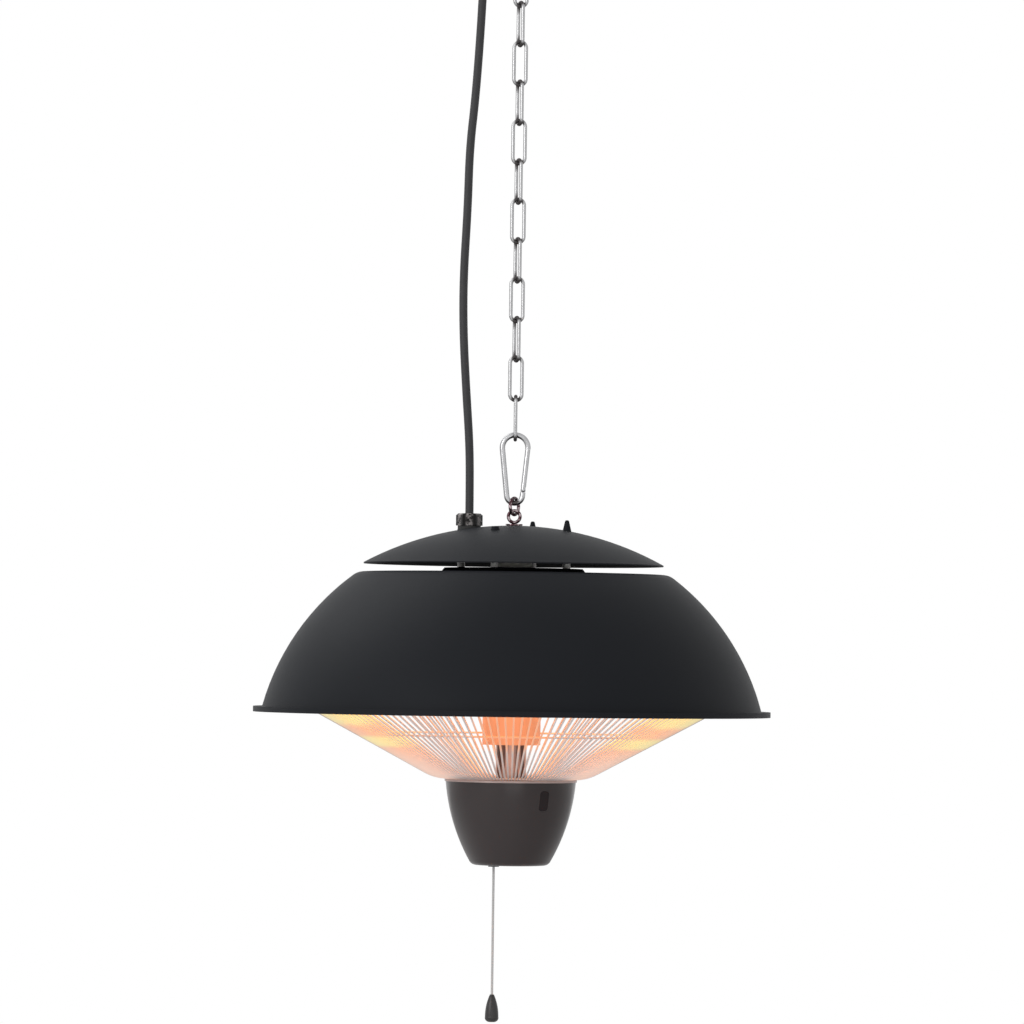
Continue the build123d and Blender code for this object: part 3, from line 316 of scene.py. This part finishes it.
lead_points += [spot - coil_t * (lead_thick + run_in), spot - coil_t * lead_thick]

# The coil's half turns, as radius and climb: inwards, over to the second
# layer, and out again.
half_turns = [(coil_outer - i * coil_step / 2, 0.0) for i in range(coil_half_turns_in)]
inmost = coil_outer - coil_half_turns_in * coil_step / 2
half_turns += [(inmost, coil_step)]
half_turns += [(inmost + (i + 1) * coil_step / 2, 0.0) for i in range(coil_half_turns_in)]
side = -1
for radius, climb in half_turns:
    middle = spot + coil_u * (radius * side)
    reach = radius / math.cos(math.pi / (2 * arc_marks))
    for i in range(arc_marks):
        share = (i + 0.5) / arc_marks
        angle = math.pi * share
        lead_points.append(
            middle
            - coil_u * (side * reach * math.cos(angle))
            - coil_t * (side * reach * math.sin(angle))
            + Vector((0.0, climb * share, 0.0))
        )
    spot = middle + coil_u * (radius * side) + Vector((0.0, climb, 0.0))
    side = -side
lead_points += [
    spot - coil_t * lead_thick,
    spot - coil_t * (lead_thick + run_out),
    Vector((-0.1260, coil_step, -0.0761)),
    Vector((-0.1367, coil_step, -0.0851)),
]


def cord_of(name, points, thick):
    """A round cord: a smooth open curve through the pull of its points."""
    curve = bpy.data.curves.new(name, "CURVE")
    curve.dimensions = "3D"
    curve.bevel_depth = 1.0  # so that a point's radius is the cord's own
    curve.bevel_resolution = 5
    curve.resolution_u = 8
    curve.use_fill_caps = True
    spline = curve.splines.new("NURBS")
    spline.points.add(len(points) - 1)
    for mark, point in zip(spline.points, points):
        mark.co = (*point, 1.0)
        mark.radius = thick / 2
    spline.order_u = 3
    spline.use_endpoint_u = True
    cord = bpy.data.objects.new(name, curve)
    scene.collection.objects.link(cord)
    return cord


def follow(cord, marks, body):
    """Let some points of a cord go with another body when that swings."""
    hook = cord.modifiers.new(body, "HOOK")
    hook.object = frame["bodies"][body]
    hook.vertex_indices_set(marks)


lead_rubber = Finish("lead_rubber", IOR=1.5, Specular_IOR_Level=0.3)
scuffs = lead_rubber.cloud(90.0, detail=4.0)
lead_rubber.feed(
    Base_Color=lead_rubber.blend(scuffs, (0.022, 0.022, 0.024, 1), (0.046, 0.046, 0.048, 1)),
    Roughness=0.45 + 0.2 * scuffs,
)
lead_rubber.relief(lead_rubber.cloud(900.0), 0.0002, 0.5)
mains_lead = cord_of("mains_lead_run", lead_points, lead_thick)
mains_lead.data.materials.append(lead_rubber.material)
first_link_z = -0.0783
link_inner_len = 0.0327
link_total = 13
gland_marks = [0, 1, 2]
chain_marks = range(3, 11)
follow(mains_lead, gland_marks, "head")
for i in chain_marks:
    beside = min(link_total, int((first_link_z - lead_points[i][2]) / link_inner_len) + 1)
    follow(mains_lead, [i], f"link_{beside:02d}")
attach(mains_lead, "mounting")
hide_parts("mains_lead", "mains_coil", "mains_tail")

# Plug, pins and tie: a moulded plug with a tapered neck and two plated pins,
# and a woven strap that holds the coil to the hook's shank.
plug_moulding = Finish("plug_moulding", IOR=1.5)
grain = plug_moulding.cloud(1400.0)
plug_moulding.feed(
    Base_Color=plug_moulding.blend(grain, (0.022, 0.022, 0.023, 1), (0.036, 0.036, 0.037, 1)),
    Roughness=0.42 + 0.12 * grain,
)
plug_moulding.relief(grain, 0.00015, 0.5).on("mains_plug")
pin_plate = Finish("pin_plate", Metallic=1.0)
pin_wear = pin_plate.cloud(300.0, stretch=(1, 1, 0.2))
pin_plate.feed(
    Base_Color=pin_plate.blend(pin_wear, (0.72, 0.66, 0.50, 1), (0.80, 0.79, 0.76, 1)),
    Roughness=0.22 + 0.15 * pin_wear,
)
pin_plate.on("plug_pins")
tie_weave = Finish("tie_weave", Roughness=0.85)
ribs = tie_weave.axes()[2].wave(3600.0)
tie_weave.feed(
    Base_Color=tie_weave.blend(
        ribs * tie_weave.cloud(700.0), (0.012, 0.012, 0.013, 1), (0.045, 0.045, 0.047, 1)
    )
)
tie_weave.relief(ribs, 0.0003, 0.6).on("lead_tie")

# Ceiling plate and hook: zinc-plated steel, a round pressed plate with three
# screw holes and a bar bent into an open hook.
ceiling_zinc = Finish("ceiling_zinc", Metallic=1.0)
spangle = ceiling_zinc.cloud(160.0, detail=5.0)
ceiling_zinc.feed(
    Base_Color=ceiling_zinc.blend(spangle, (0.50, 0.51, 0.52, 1), (0.66, 0.66, 0.65, 1)),
    Roughness=0.28 + 0.2 * spangle,
)
ceiling_zinc.relief(ceiling_zinc.cloud(1100.0), 0.0001, 0.4).on("ceiling_plate", "ceiling_hook")

# Chain: long links of bright round wire, each closed by a butt weld on one
# side and hung in the one above; each link moves by itself.
chain_steel = Finish("chain_steel", Metallic=1.0)
# Painted shade and some wear darken each link where the next one bears.
contact_shade_and_wear_mask = chain_steel.attribute("contact")
smear = chain_steel.cloud(260.0, detail=4.0)
facing = chain_steel.node("ShaderNodeLayerWeight", None, "Facing", Blend=0.35)
plated = chain_steel.blend(smear, (0.33, 0.33, 0.335, 1), (0.46, 0.46, 0.465, 1))
# Painted dark reflection: the wire darkens toward the edges that face away.
dark_reflection_edged = chain_steel.blend(facing * 0.5, plated, (0.25, 0.25, 0.255, 1))
chain_steel.feed(
    Base_Color=chain_steel.blend(contact_shade_and_wear_mask, dark_reflection_edged, (0.085, 0.078, 0.078, 1)),
    Roughness=0.26 + 0.10 * smear + 0.30 * contact_shade_and_wear_mask,
)
chain_steel.relief(chain_steel.cloud(700.0, stretch=(1, 1, 0.25)), 0.00003, 0.25)


class Tree:
    """A Geometry Nodes tree with named inputs, and what it makes as a mesh."""

    def __init__(self, name, **inputs):
        self.tree = bpy.data.node_groups.new(name, "GeometryNodeTree")
        kinds = {float: "NodeSocketFloat", int: "NodeSocketInt", tuple: "NodeSocketVector"}
        self.values = inputs
        for key, value in inputs.items():
            self.tree.interface.new_socket(key, in_out="INPUT", socket_type=kinds[type(value)])
        self.tree.interface.new_socket("Geometry", in_out="OUTPUT", socket_type="NodeSocketGeometry")
        self.start = self.tree.nodes.new("NodeGroupInput")
        self.end = self.tree.nodes.new("NodeGroupOutput")

    def given(self, name):
        return self.start.outputs[name]

    def node(self, kind, settings=None, out=0, **sockets):
        node = self.tree.nodes.new(kind)
        for name, value in (settings or {}).items():
            setattr(node, name, value)
        for name, value in sockets.items():
            slot = node.inputs[int(name[1:]) if name[1:].isdigit() else name.replace("_", " ")]
            if isinstance(value, bpy.types.NodeSocket):
                self.tree.links.new(value, slot)
            elif isinstance(value, list):
                for part in value:
                    self.tree.links.new(part, slot)
            else:
                slot.default_value = value
        return node.outputs[out]

    def sum(self, kind, *values):
        slots = {f"i{i}": value for i, value in enumerate(values)}
        return self.node("ShaderNodeMath", {"operation": kind}, **slots)

    def axes(self):
        """X, Y and Z of each point."""
        split = self.tree.nodes.new("ShaderNodeSeparateXYZ")
        self.tree.links.new(self.node("GeometryNodeInputPosition"), split.inputs[0])
        return list(split.outputs)

    def fade(self, value, low, high, first, last):
        """From the first number at low to the last at high, and smooth."""
        return self.node(
            "ShaderNodeMapRange", {"interpolation_type": "SMOOTHSTEP"},
            Value=value, From_Min=low, From_Max=high, To_Min=first, To_Max=last,
        )

    def mark(self, shape, name, value):
        """Store a value at each point, for a finish to read."""
        return self.node(
            "GeometryNodeStoreNamedAttribute", {"data_type": "FLOAT", "domain": "POINT"},
            Geometry=shape, Name=name, Value=value,
        )

    def close(self, shape, material):
        whole = self.node("GeometryNodeRealizeInstances", Geometry=shape)
        whole = self.node("GeometryNodeSetMaterial", Geometry=whole, Material=material)
        self.tree.links.new(whole, self.end.inputs[0])
        return self

    def make(self, name, **changes):
        """A plain mesh object of the tree's shape for these input values."""
        maker = bpy.data.objects.new("maker", bpy.data.meshes.new("maker"))
        scene.collection.objects.link(maker)
        work = maker.modifiers.new("tree", "NODES")
        work.node_group = self.tree
        for item in self.tree.interface.items_tree:
            if item.in_out == "INPUT":
                work[item.identifier] = changes.get(item.name, self.values[item.name])
        bpy.context.view_layer.update()
        depsgraph = bpy.context.evaluated_depsgraph_get()
        shape = maker.evaluated_get(depsgraph)
        mesh = bpy.data.meshes.new_from_object(shape, depsgraph=depsgraph)
        bpy.data.objects.remove(maker)
        mesh.name = name
        mesh.polygons.foreach_set("use_smooth", [True] * len(mesh.polygons))
        made = bpy.data.objects.new(name, mesh)
        scene.collection.objects.link(made)
        return made


# How far from the middle of a link's end its dark spot reaches, for links
# that are seen face-on and edge-on: painted shade where the links meet, with
# some wear.
shade_and_wear_face_on = 0.0048
shade_and_wear_edge_on = 0.0064
shade_and_wear_soft = 0.0014
weld_swell = 1.14
link_tree = Tree(
    "Chain link", Length=link_inner_len, Width=0.0070, Wire=0.003, Worn=shade_and_wear_face_on,
    Middle=(0.0, 0.0, 0.0), Turn=(0.0, 0.0, 0.0),
)
length, width, wire, shade_and_wear_reach = (link_tree.given(key) for key in ("Length", "Width", "Wire", "Worn"))
outer_w = link_tree.sum("ADD", width, wire)
outer_l = link_tree.sum("ADD", length, wire)
bend_r = link_tree.sum("MULTIPLY", outer_w, 0.4999)
oblong = link_tree.node("GeometryNodeCurvePrimitiveQuadrilateral", Width=outer_w, Height=outer_l)
oblong = link_tree.node(
    "GeometryNodeFilletCurve", {"mode": "POLY"},
    Curve=oblong, Count=12, Radius=bend_r, Limit_Radius=True,
)
oblong = link_tree.node("GeometryNodeSubdivideCurve", Curve=oblong, Cuts=4)
weld_spot = link_tree.node("ShaderNodeCombineXYZ", X=link_tree.sum("MULTIPLY", outer_w, 0.5))
weld_far = link_tree.node(
    "ShaderNodeVectorMath", {"operation": "DISTANCE"}, "Value",
    i0=link_tree.node("GeometryNodeInputPosition"), i1=weld_spot,
)
bulge = link_tree.fade(weld_far, 0.0008, 0.0024, weld_swell, 1.0)
oblong = link_tree.node("GeometryNodeSetCurveRadius", Curve=oblong, Radius=bulge)
wire_round = link_tree.node(
    "GeometryNodeCurvePrimitiveCircle", Resolution=12, Radius=link_tree.sum("MULTIPLY", wire, 0.5)
)
bent = link_tree.node("GeometryNodeCurveToMesh", Curve=oblong, Profile_Curve=wire_round)
x, y, z = link_tree.axes()
half_len = link_tree.sum("MULTIPLY", length, 0.5)
end_off = link_tree.sum("SUBTRACT", link_tree.sum("ABSOLUTE", y), half_len)
from_end = link_tree.node(
    "ShaderNodeVectorMath", {"operation": "LENGTH"}, "Value",
    i0=link_tree.node("ShaderNodeCombineXYZ", X=x, Y=end_off, Z=z),
)
# Painted shade and some wear, near the middle of each end.
contact = link_tree.fade(from_end, link_tree.sum("SUBTRACT", shade_and_wear_reach, shade_and_wear_soft), shade_and_wear_reach, 1.0, 0.0)
bent = link_tree.mark(bent, "contact", contact)
stood = link_tree.node("GeometryNodeTransform", Geometry=bent, Rotation=(math.pi / 2, 0.0, 0.0))
stood = link_tree.node(
    "GeometryNodeTransform",
    Geometry=stood, Rotation=link_tree.given("Turn"), Translation=link_tree.given("Middle"),
)
link_tree.close(stood, chain_steel.material)
face_turn = math.radians(8.0)
edge_turn = math.radians(22.0)
for i in range(link_total):
    low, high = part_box(f"chain_link_{i + 1:02d}")
    turn, shade_and_wear_to = face_turn, shade_and_wear_face_on
    if i % 2 == 0:
        turn = math.pi / 2 + (edge_turn if 0 < i < link_total - 1 else 0.0)
        shade_and_wear_to = shade_and_wear_edge_on
    link = link_tree.make(
        f"link_wire_{i + 1:02d}",
        Worn=shade_and_wear_to,
        Middle=tuple((low + high) / 2),
        Turn=(0.0, 0.0, turn),
    )
    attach(link, f"link_{i + 1:02d}")
    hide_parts(f"chain_link_{i + 1:02d}")

# Snap hook: bright wire bent to a pear, closed by a sprung gate on a rivet,
# and below it a small ring and the forged eye bolt that carries the heater.
hook_steel = Finish("hook_steel", Metallic=1.0)
hook_smear = hook_steel.cloud(200.0, detail=4.0)
hook_face = hook_steel.node("ShaderNodeLayerWeight", None, "Facing", Blend=0.35)
x, _, z = hook_steel.axes()
hook_low, hook_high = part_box("carabiner_body")
link_seat_z = hook_high.z - 0.0045
ring_seat_z = hook_low.z + 0.0035
# The wire is dark where the chain's last link and the ring bear: painted shade.
from_link = (z - link_seat_z).of("ABSOLUTE") + x.of("ABSOLUTE")
from_ring = (z - ring_seat_z).of("ABSOLUTE") + x.of("ABSOLUTE")
clear = hook_steel.step(from_link, 0.0030, 0.0048) * hook_steel.step(from_ring, 0.0030, 0.0055)
hook_plate = hook_steel.blend(hook_smear, (0.38, 0.38, 0.385, 1), (0.56, 0.56, 0.57, 1))
# Painted dark reflection toward the wire's edges.
hook_dark_reflection_edge = hook_steel.blend(hook_face * 0.95, hook_plate, (0.12, 0.12, 0.125, 1))
hook_steel.feed(
    Base_Color=hook_steel.blend(clear, (0.07, 0.065, 0.065, 1), hook_dark_reflection_edge),
    Roughness=0.20 + 0.12 * hook_smear,
)
hook_steel.on("carabiner_body", "carabiner_gate", "carabiner_pin")
eye_steel = Finish("eye_steel", Metallic=1.0)
eye_reflection_patches = eye_steel.cloud(420.0, detail=4.0)
eye_face = eye_steel.node("ShaderNodeLayerWeight", None, "Facing", Blend=0.5)
# The ring and eye bolt are painted reflection: dark plum with light painted highlights in patches,
# and darker edges.
eye_painted_reflection = eye_steel.blend(
    eye_steel.step(eye_reflection_patches, 0.46, 0.60), (0.06, 0.028, 0.034, 1), (0.44, 0.36, 0.375, 1)
)
eye_steel.feed(
    Base_Color=eye_steel.blend(eye_face * 0.9, eye_painted_reflection, (0.05, 0.030, 0.032, 1)),
    Roughness=0.18 + 0.2 * eye_reflection_patches,
)
eye_steel.on("link_ring", "eye_bolt")

# Lid and shade: spun steel with a satin black powder coat, which the pointed
# nuts have too, with the coat's fine pebble and a slow drift in its tone.
powder = Finish("black_powder", IOR=1.5, Specular_IOR_Level=0.07)
pebble = powder.cloud(1300.0, detail=2.0)
drift = powder.cloud(9.0, detail=3.0)
powder.feed(
    Base_Color=powder.blend(drift, (0.0104, 0.0116, 0.0142, 1), (0.0142, 0.0154, 0.0182, 1)),
    Roughness=0.44 + 0.10 * drift + 0.06 * pebble,
)
powder.relief(pebble, 0.00018, 0.35).on("lid", "shade", "lid_cap_nuts")

# Steel that holds the parts together: studs, sleeves, nuts, screws, clips and
# the switch's spring, all plain turned or pressed steel with a light plating.
turned = Finish("turned_steel", Metallic=1.0)
tool_marks = turned.cloud(500.0, stretch=(1, 1, 4))
turned.feed(
    Base_Color=turned.blend(tool_marks, (0.42, 0.41, 0.40, 1), (0.62, 0.61, 0.60, 1)),
    Roughness=0.30 + 0.2 * tool_marks,
)
turned.relief(tool_marks, 0.00006, 0.4)
turned.on("eye_nuts", "stud_spacers", "studs", "stud_nuts", "stem_nut", "bowl_screws")
turned.on("grille_clips", "lamp_clips", "switch_spring")

# Cable gland: black nylon body, dome nut and lock nut with rubber seals that
# grip the lead where it enters the lid.
nylon = Finish("gland_nylon", IOR=1.5, Specular_IOR_Level=0.15)
nylon_grain = nylon.cloud(1100.0)
x, y, _ = nylon.axes()
flats = 6
turns = y.sum("ARCTAN2", x - gland_x) * (flats / (2 * math.pi))
on_flat = (turns + flats).of("FRACT")
flat_rub = nylon.step((on_flat - 0.5).of("ABSOLUTE"), 0.36, 0.16)
scuffed = flat_rub * nylon.step(nylon.cloud(330.0), 0.40, 0.58)
nylon.feed(
    Base_Color=nylon.blend(scuffed, (0.005, 0.0045, 0.0045, 1), (0.27, 0.25, 0.245, 1)),
    Roughness=0.32 + 0.14 * nylon_grain,
)
nylon.relief(nylon_grain, 0.0002, 0.4).on("gland_body", "gland_nut", "gland_locknut")
seal = Finish("seal_rubber", Roughness=0.75)
seal.feed(
    Base_Color=seal.blend(seal.cloud(800.0), (0.012, 0.012, 0.012, 1), (0.026, 0.026, 0.026, 1))
)
seal.on("gland_seals")

# Reflector: spun bright aluminium over the lamps, with the fine rings that
# spinning leaves, lit from below by the lamps.
spun = Finish("spun_aluminium", Metallic=1.0)
rings = spun.from_axis().wave(2600.0)
spun.feed(
    Base_Color=spun.blend(spun.cloud(60.0), (0.80, 0.79, 0.78, 1), (0.90, 0.89, 0.88, 1)),
    Roughness=0.20 + 0.08 * rings,
)
spun.relief(rings, 0.00008, 0.4).on("reflector")

# Column and stem: steel tubes in the middle of the heater. The column's
# orange colour and glow are painted lamplight, fading at its lower end; the
# thinner stem stays dark.
column = Finish("column_steel", Metallic=0.35, Roughness=0.45, Emission_Strength=0.45)
column_low_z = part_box("column_tube")[0].z
painted_lamp_glow = column.step(column.axes()[2], column_low_z - 0.015, column_low_z + 0.050)
streak = column.cloud(140.0, stretch=(1, 1, 0.05))
column.feed(
    Base_Color=column.blend(streak, (0.48, 0.24, 0.15, 1), (0.62, 0.37, 0.25, 1)),
    Emission_Color=column.blend(
        painted_lamp_glow * 0.5 + streak * 0.5, (0.55, 0.16, 0.07, 1), (0.95, 0.34, 0.15, 1)
    ),
)
column.on("column_tube")
stem = Finish("stem_steel", Metallic=0.8)
stem_streak = stem.step(stem.cloud(230.0, detail=1.0, stretch=(1, 1, 0.02)), 0.45, 0.62)
stem.feed(
    Base_Color=stem.blend(stem_streak, (0.10, 0.058, 0.050, 1), (0.50, 0.36, 0.32, 1)),
    Roughness=0.3,
)
stem.on("stem_tube")

# Ring lamps: quartz tubes bent to a ring, glowing orange, with ceramic ends
# that hang from the reflector on wire rods.
quartz = Finish("hot_quartz", Roughness=0.15, Emission_Strength=5.0)
quartz_cloud = quartz.cloud(70.0)
quartz.feed(
    Base_Color=quartz.blend(quartz_cloud, (0.95, 0.50, 0.22, 1), (1.0, 0.62, 0.34, 1)),
    Emission_Color=quartz.blend(quartz_cloud, (1.0, 0.34, 0.07, 1), (1.0, 0.46, 0.13, 1)),
)
quartz.on("lamp_outer", "lamp_inner")
ceramic = Finish("lamp_ceramic", Roughness=0.35)
ceramic.feed(
    Base_Color=ceramic.blend(ceramic.cloud(220.0), (0.74, 0.70, 0.62, 1), (0.84, 0.82, 0.77, 1))
)
ceramic.relief(ceramic.cloud(900.0), 0.0001, 0.4).on("lamp_end_caps", "terminal_block")

# Grille: a cone of thin bright wires from inside the rim to the bowl, with
# welded rings. Its colour and glow are painted lamplight: wires that look
# inwards and the cone's left and right sides glow orange, with yellow bands
# where the lamps stand behind them and orange over the column, and a painted
# dark line runs along the cone's outline.
grille_steel = Finish("grille_steel", Metallic=0.55, Emission_Strength=1.0)
outer_lamp_r = 0.154
inner_lamp_r = 0.118
inward = grille_steel.attribute("inward")
x, _, z = grille_steel.axes()
patch = grille_steel.cloud(26.0, detail=1.0)
from_axis = grille_steel.from_axis()
sideways = x.of("ABSOLUTE") / from_axis
# Painted lamplight on the cone's left and right sides.
side = grille_steel.step(sideways, 0.50, 0.88)
near_outer = grille_steel.step((from_axis - outer_lamp_r).of("ABSOLUTE"), 0.016, 0.006)
near_inner = grille_steel.step((from_axis - inner_lamp_r).of("ABSOLUTE"), 0.011, 0.004)
near_lamp = near_outer.sum("MAXIMUM", near_inner)
# Painted lamplight on wires that face inwards and on the sides, less at the outline.
lit = grille_steel.step(inward + side * 1.2, -0.25, 0.75)
lit = lit * (1.0 - 0.8 * grille_steel.step(sideways, 0.975, 0.998))
further_out = grille_steel.step(from_axis, 0.075, 0.125)
# Painted orange lamplight over the column.
before_column = grille_steel.step(x.of("ABSOLUTE"), 0.034, 0.027)
by_column = before_column * grille_steel.step(z, column_low_z - 0.006, column_low_z)
# Painted dark line along the cone's outline.
painted_dark_outline = grille_steel.step(sideways, 0.985, 0.997)
painted_lamp_glow = grille_steel.blend(further_out, (0.46, 0.30, 0.24, 1), (0.49, 0.25, 0.15, 1))
painted_lamp_glow = grille_steel.blend(near_lamp, painted_lamp_glow, (0.50, 0.42, 0.19, 1))
painted_lamp_glow = grille_steel.blend(side, (0.18, 0.12, 0.10, 1), painted_lamp_glow)
painted_lamp_glow = grille_steel.blend(lit, (0.06, 0.05, 0.048, 1), painted_lamp_glow)
painted_lamp_glow = grille_steel.blend(by_column, painted_lamp_glow, (0.30, 0.12, 0.06, 1))
painted_lamplight_tint = grille_steel.blend(further_out, (0.62, 0.46, 0.38, 1), (0.62, 0.42, 0.30, 1))
painted_lamplight_tint = grille_steel.blend(near_lamp, painted_lamplight_tint, (0.62, 0.55, 0.30, 1))
painted_lamplight_tint = grille_steel.blend(side, (0.76, 0.64, 0.59, 1), painted_lamplight_tint)
painted_lamplight_tint = grille_steel.blend(lit, (0.72, 0.65, 0.63, 1), painted_lamplight_tint)
painted_lamplight_tint = grille_steel.blend(by_column, painted_lamplight_tint, (0.78, 0.48, 0.32, 1))
grille_steel.feed(
    Base_Color=grille_steel.blend(painted_dark_outline, painted_lamplight_tint, (0.34, 0.27, 0.23, 1)),
    Emission_Color=grille_steel.blend(painted_dark_outline, painted_lamp_glow, (0.05, 0.03, 0.02, 1)),
    Roughness=0.25 + 0.15 * patch,
)
grille_wire = 0.0016
grille_r = 0.189
toe_r = 0.0623
hub_r = 0.034
cone_slope = math.radians(28.3)
weld_off = grille_wire * 0.9
toe_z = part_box("grille")[0].z + grille_wire / 2
rim_z = toe_z + (grille_r - toe_r) * math.tan(cone_slope)
cage = Tree("Grille", Wires=144, Wire=grille_wire, Sides=8)
wire_round = cage.node(
    "GeometryNodeCurvePrimitiveCircle",
    Resolution=cage.given("Sides"), Radius=cage.sum("MULTIPLY", cage.given("Wire"), 0.5),
)
rim_point, toe_point, hub_point = (grille_r, 0.0, rim_z), (toe_r, 0.0, toe_z), (hub_r, 0.0, toe_z)
runs = [
    cage.node(
        "GeometryNodeCurveToMesh",
        Curve=cage.node("GeometryNodeCurvePrimitiveLine", Start=start, End=end),
    )
    for start, end in ((rim_point, toe_point), (toe_point, hub_point))
]
joined = cage.node("GeometryNodeJoinGeometry", Geometry=runs)
joined = cage.node("GeometryNodeMergeByDistance", Geometry=joined, Distance=0.0001)
rod = cage.node("GeometryNodeMeshToCurve", Mesh=joined)
rod = cage.node(
    "GeometryNodeFilletCurve", {"mode": "POLY"},
    Curve=rod, Count=7, Radius=0.036, Limit_Radius=True,
)
rod = cage.node("GeometryNodeCurveToMesh", Curve=rod, Profile_Curve=wire_round, Fill_Caps=True)
marks = cage.node("GeometryNodePoints", Count=cage.given("Wires"))
turn_step = cage.sum("DIVIDE", 2 * math.pi, cage.given("Wires"))
place_on = cage.sum("ADD", cage.node("GeometryNodeInputIndex"), 0.25)
wires = cage.node(
    "GeometryNodeInstanceOnPoints", Points=marks, Instance=rod,
    Rotation=cage.node("ShaderNodeCombineXYZ", Z=cage.sum("MULTIPLY", place_on, turn_step)),
)


def hoop(radius, level, corners):
    """A level ring of the grille's wire."""
    ring = cage.node("GeometryNodeCurvePrimitiveCircle", Resolution=corners, Radius=radius)
    ring = cage.node("GeometryNodeTransform", Geometry=ring, Translation=(0.0, 0.0, level))
    return cage.node("GeometryNodeCurveToMesh", Curve=ring, Profile_Curve=wire_round)


hoops = []
for share in (0.0, 0.5):
    radius = grille_r - share * (grille_r - toe_r) - weld_off * math.sin(cone_slope)
    level = rim_z - share * (rim_z - toe_z) + weld_off * math.cos(cone_slope)
    hoops.append(hoop(radius, level, 144))
hoops.append(hoop(hub_r, toe_z, 96))
woven = cage.node("GeometryNodeJoinGeometry", Geometry=[wires, *hoops])
woven = cage.node("GeometryNodeRealizeInstances", Geometry=woven)
# How far each point faces inwards, which the grille's finish reads for its painted lamplight.
x, y, _ = cage.axes()
outward = cage.node(
    "ShaderNodeVectorMath", {"operation": "NORMALIZE"}, "Vector",
    i0=cage.node("ShaderNodeCombineXYZ", X=x, Y=y, Z=-0.05),
)
facing_out = cage.node(
    "ShaderNodeVectorMath", {"operation": "DOT_PRODUCT"}, "Value",
    i0=cage.node("GeometryNodeInputNormal"), i1=outward,
)
woven = cage.mark(woven, "inward", cage.sum("MULTIPLY", facing_out, -1.0))
grille = cage.close(woven, grille_steel.material).make("grille_cage")
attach(grille, "head")
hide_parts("grille")

# Bowl: a dark moulded cup under a light metal plate, with a smoked window and
# the pull switch inside.
bowl = Finish("bowl_moulding", IOR=1.5, Specular_IOR_Level=0.35, Coat_Roughness=0.1)
bowl_cloud = bowl.cloud(18.0, detail=2.0)
bowl_grain = bowl.cloud(1600.0, detail=1.0)
bowl.feed(
    Base_Color=bowl.blend(bowl_cloud, (0.0225, 0.0158, 0.0160, 1), (0.032, 0.0245, 0.0255, 1)),
    Roughness=0.26 + 0.08 * bowl_cloud,
    Coat_Weight=0.10 + 0.10 * bowl_cloud,
)
bowl.relief(bowl_grain, 0.00006, 0.25).on("bowl_shell")
plate = Finish("plate_metal", Metallic=0.6)
plate_marks = plate.cloud(300.0, stretch=(1, 1, 3))
# Inside its rim band the plate is painted shade, dark brown; the rim band keeps the metal's lighter
# colour.
plate_edge = plate.step(plate.from_axis(), 0.0525, 0.0535)
plate_painted_shade = plate.blend(plate.cloud(260.0), (0.030, 0.016, 0.013, 1), (0.14, 0.075, 0.055, 1))
plate_rim_tone = plate.blend(plate_marks, (0.24, 0.18, 0.17, 1), (0.46, 0.37, 0.35, 1))
plate.feed(Base_Color=plate.blend(plate_edge, plate_painted_shade, plate_rim_tone), Roughness=0.35 + 0.1 * plate_marks)
plate.on("bowl_plate")
lens = Finish("smoked_lens", IOR=1.5, Specular_IOR_Level=0.25)
lens_cloud = lens.cloud(60.0)
lens.feed(
    Base_Color=lens.blend(lens_cloud, (0.010, 0.0055, 0.0065, 1), (0.017, 0.011, 0.012, 1)),
    Roughness=0.12 + 0.05 * lens_cloud,
)
lens.on("indicator_lens")
switch = Finish("switch_moulding", Roughness=0.5)
switch.feed(
    Base_Color=switch.blend(switch.cloud(500.0), (0.70, 0.68, 0.62, 1), (0.78, 0.77, 0.72, 1))
)
switch.on("switch_case", "switch_slider", "switch_cam")

# Pull cord: braided nylon that runs from the switch through a bush in the
# bowl's floor, with a drop-shaped moulded knob at its end.
braid = Finish("cord_braid", Roughness=0.8)
x, _, z = braid.axes()
along, around = z * 2400.0, x * 1500.0
plait = (along + around).of("SINE") * (along - around).of("SINE") * 0.5 + 0.5
braid.feed(Base_Color=braid.blend(plait, (0.42, 0.415, 0.415, 1), (0.62, 0.61, 0.61, 1)))
braid.relief(plait, 0.0002, 0.5)
cord_low, cord_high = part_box("pull_cord")
top_low, top_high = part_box("pull_cord_top")
cord_x = (cord_low.x + cord_high.x) / 2
cord_marks = [
    top_high.z,
    top_low.z + 0.006,
    top_low.z,
    cord_high.z - 0.012,
    (cord_low.z + cord_high.z) / 2,
    cord_low.z + 0.02,
    cord_low.z,
]
pull_cord = cord_of("pull_cord_braid", [(cord_x, 0.0, level) for level in cord_marks], 0.002)
pull_cord.data.materials.append(braid.material)
follow(pull_cord, [0, 1, 2], "slider")
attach(pull_cord, "pull")
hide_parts("pull_cord", "pull_cord_top")
knob = Finish("knob_moulding", IOR=1.5, Specular_IOR_Level=0.4)
knob_cloud = knob.cloud(120.0)
knob.feed(
    Base_Color=knob.blend(knob_cloud, (0.017, 0.0165, 0.0165, 1), (0.034, 0.033, 0.033, 1)),
    Roughness=0.32 + 0.1 * knob_cloud,
)
knob.on("pull_knob", "cord_bush")

low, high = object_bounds()
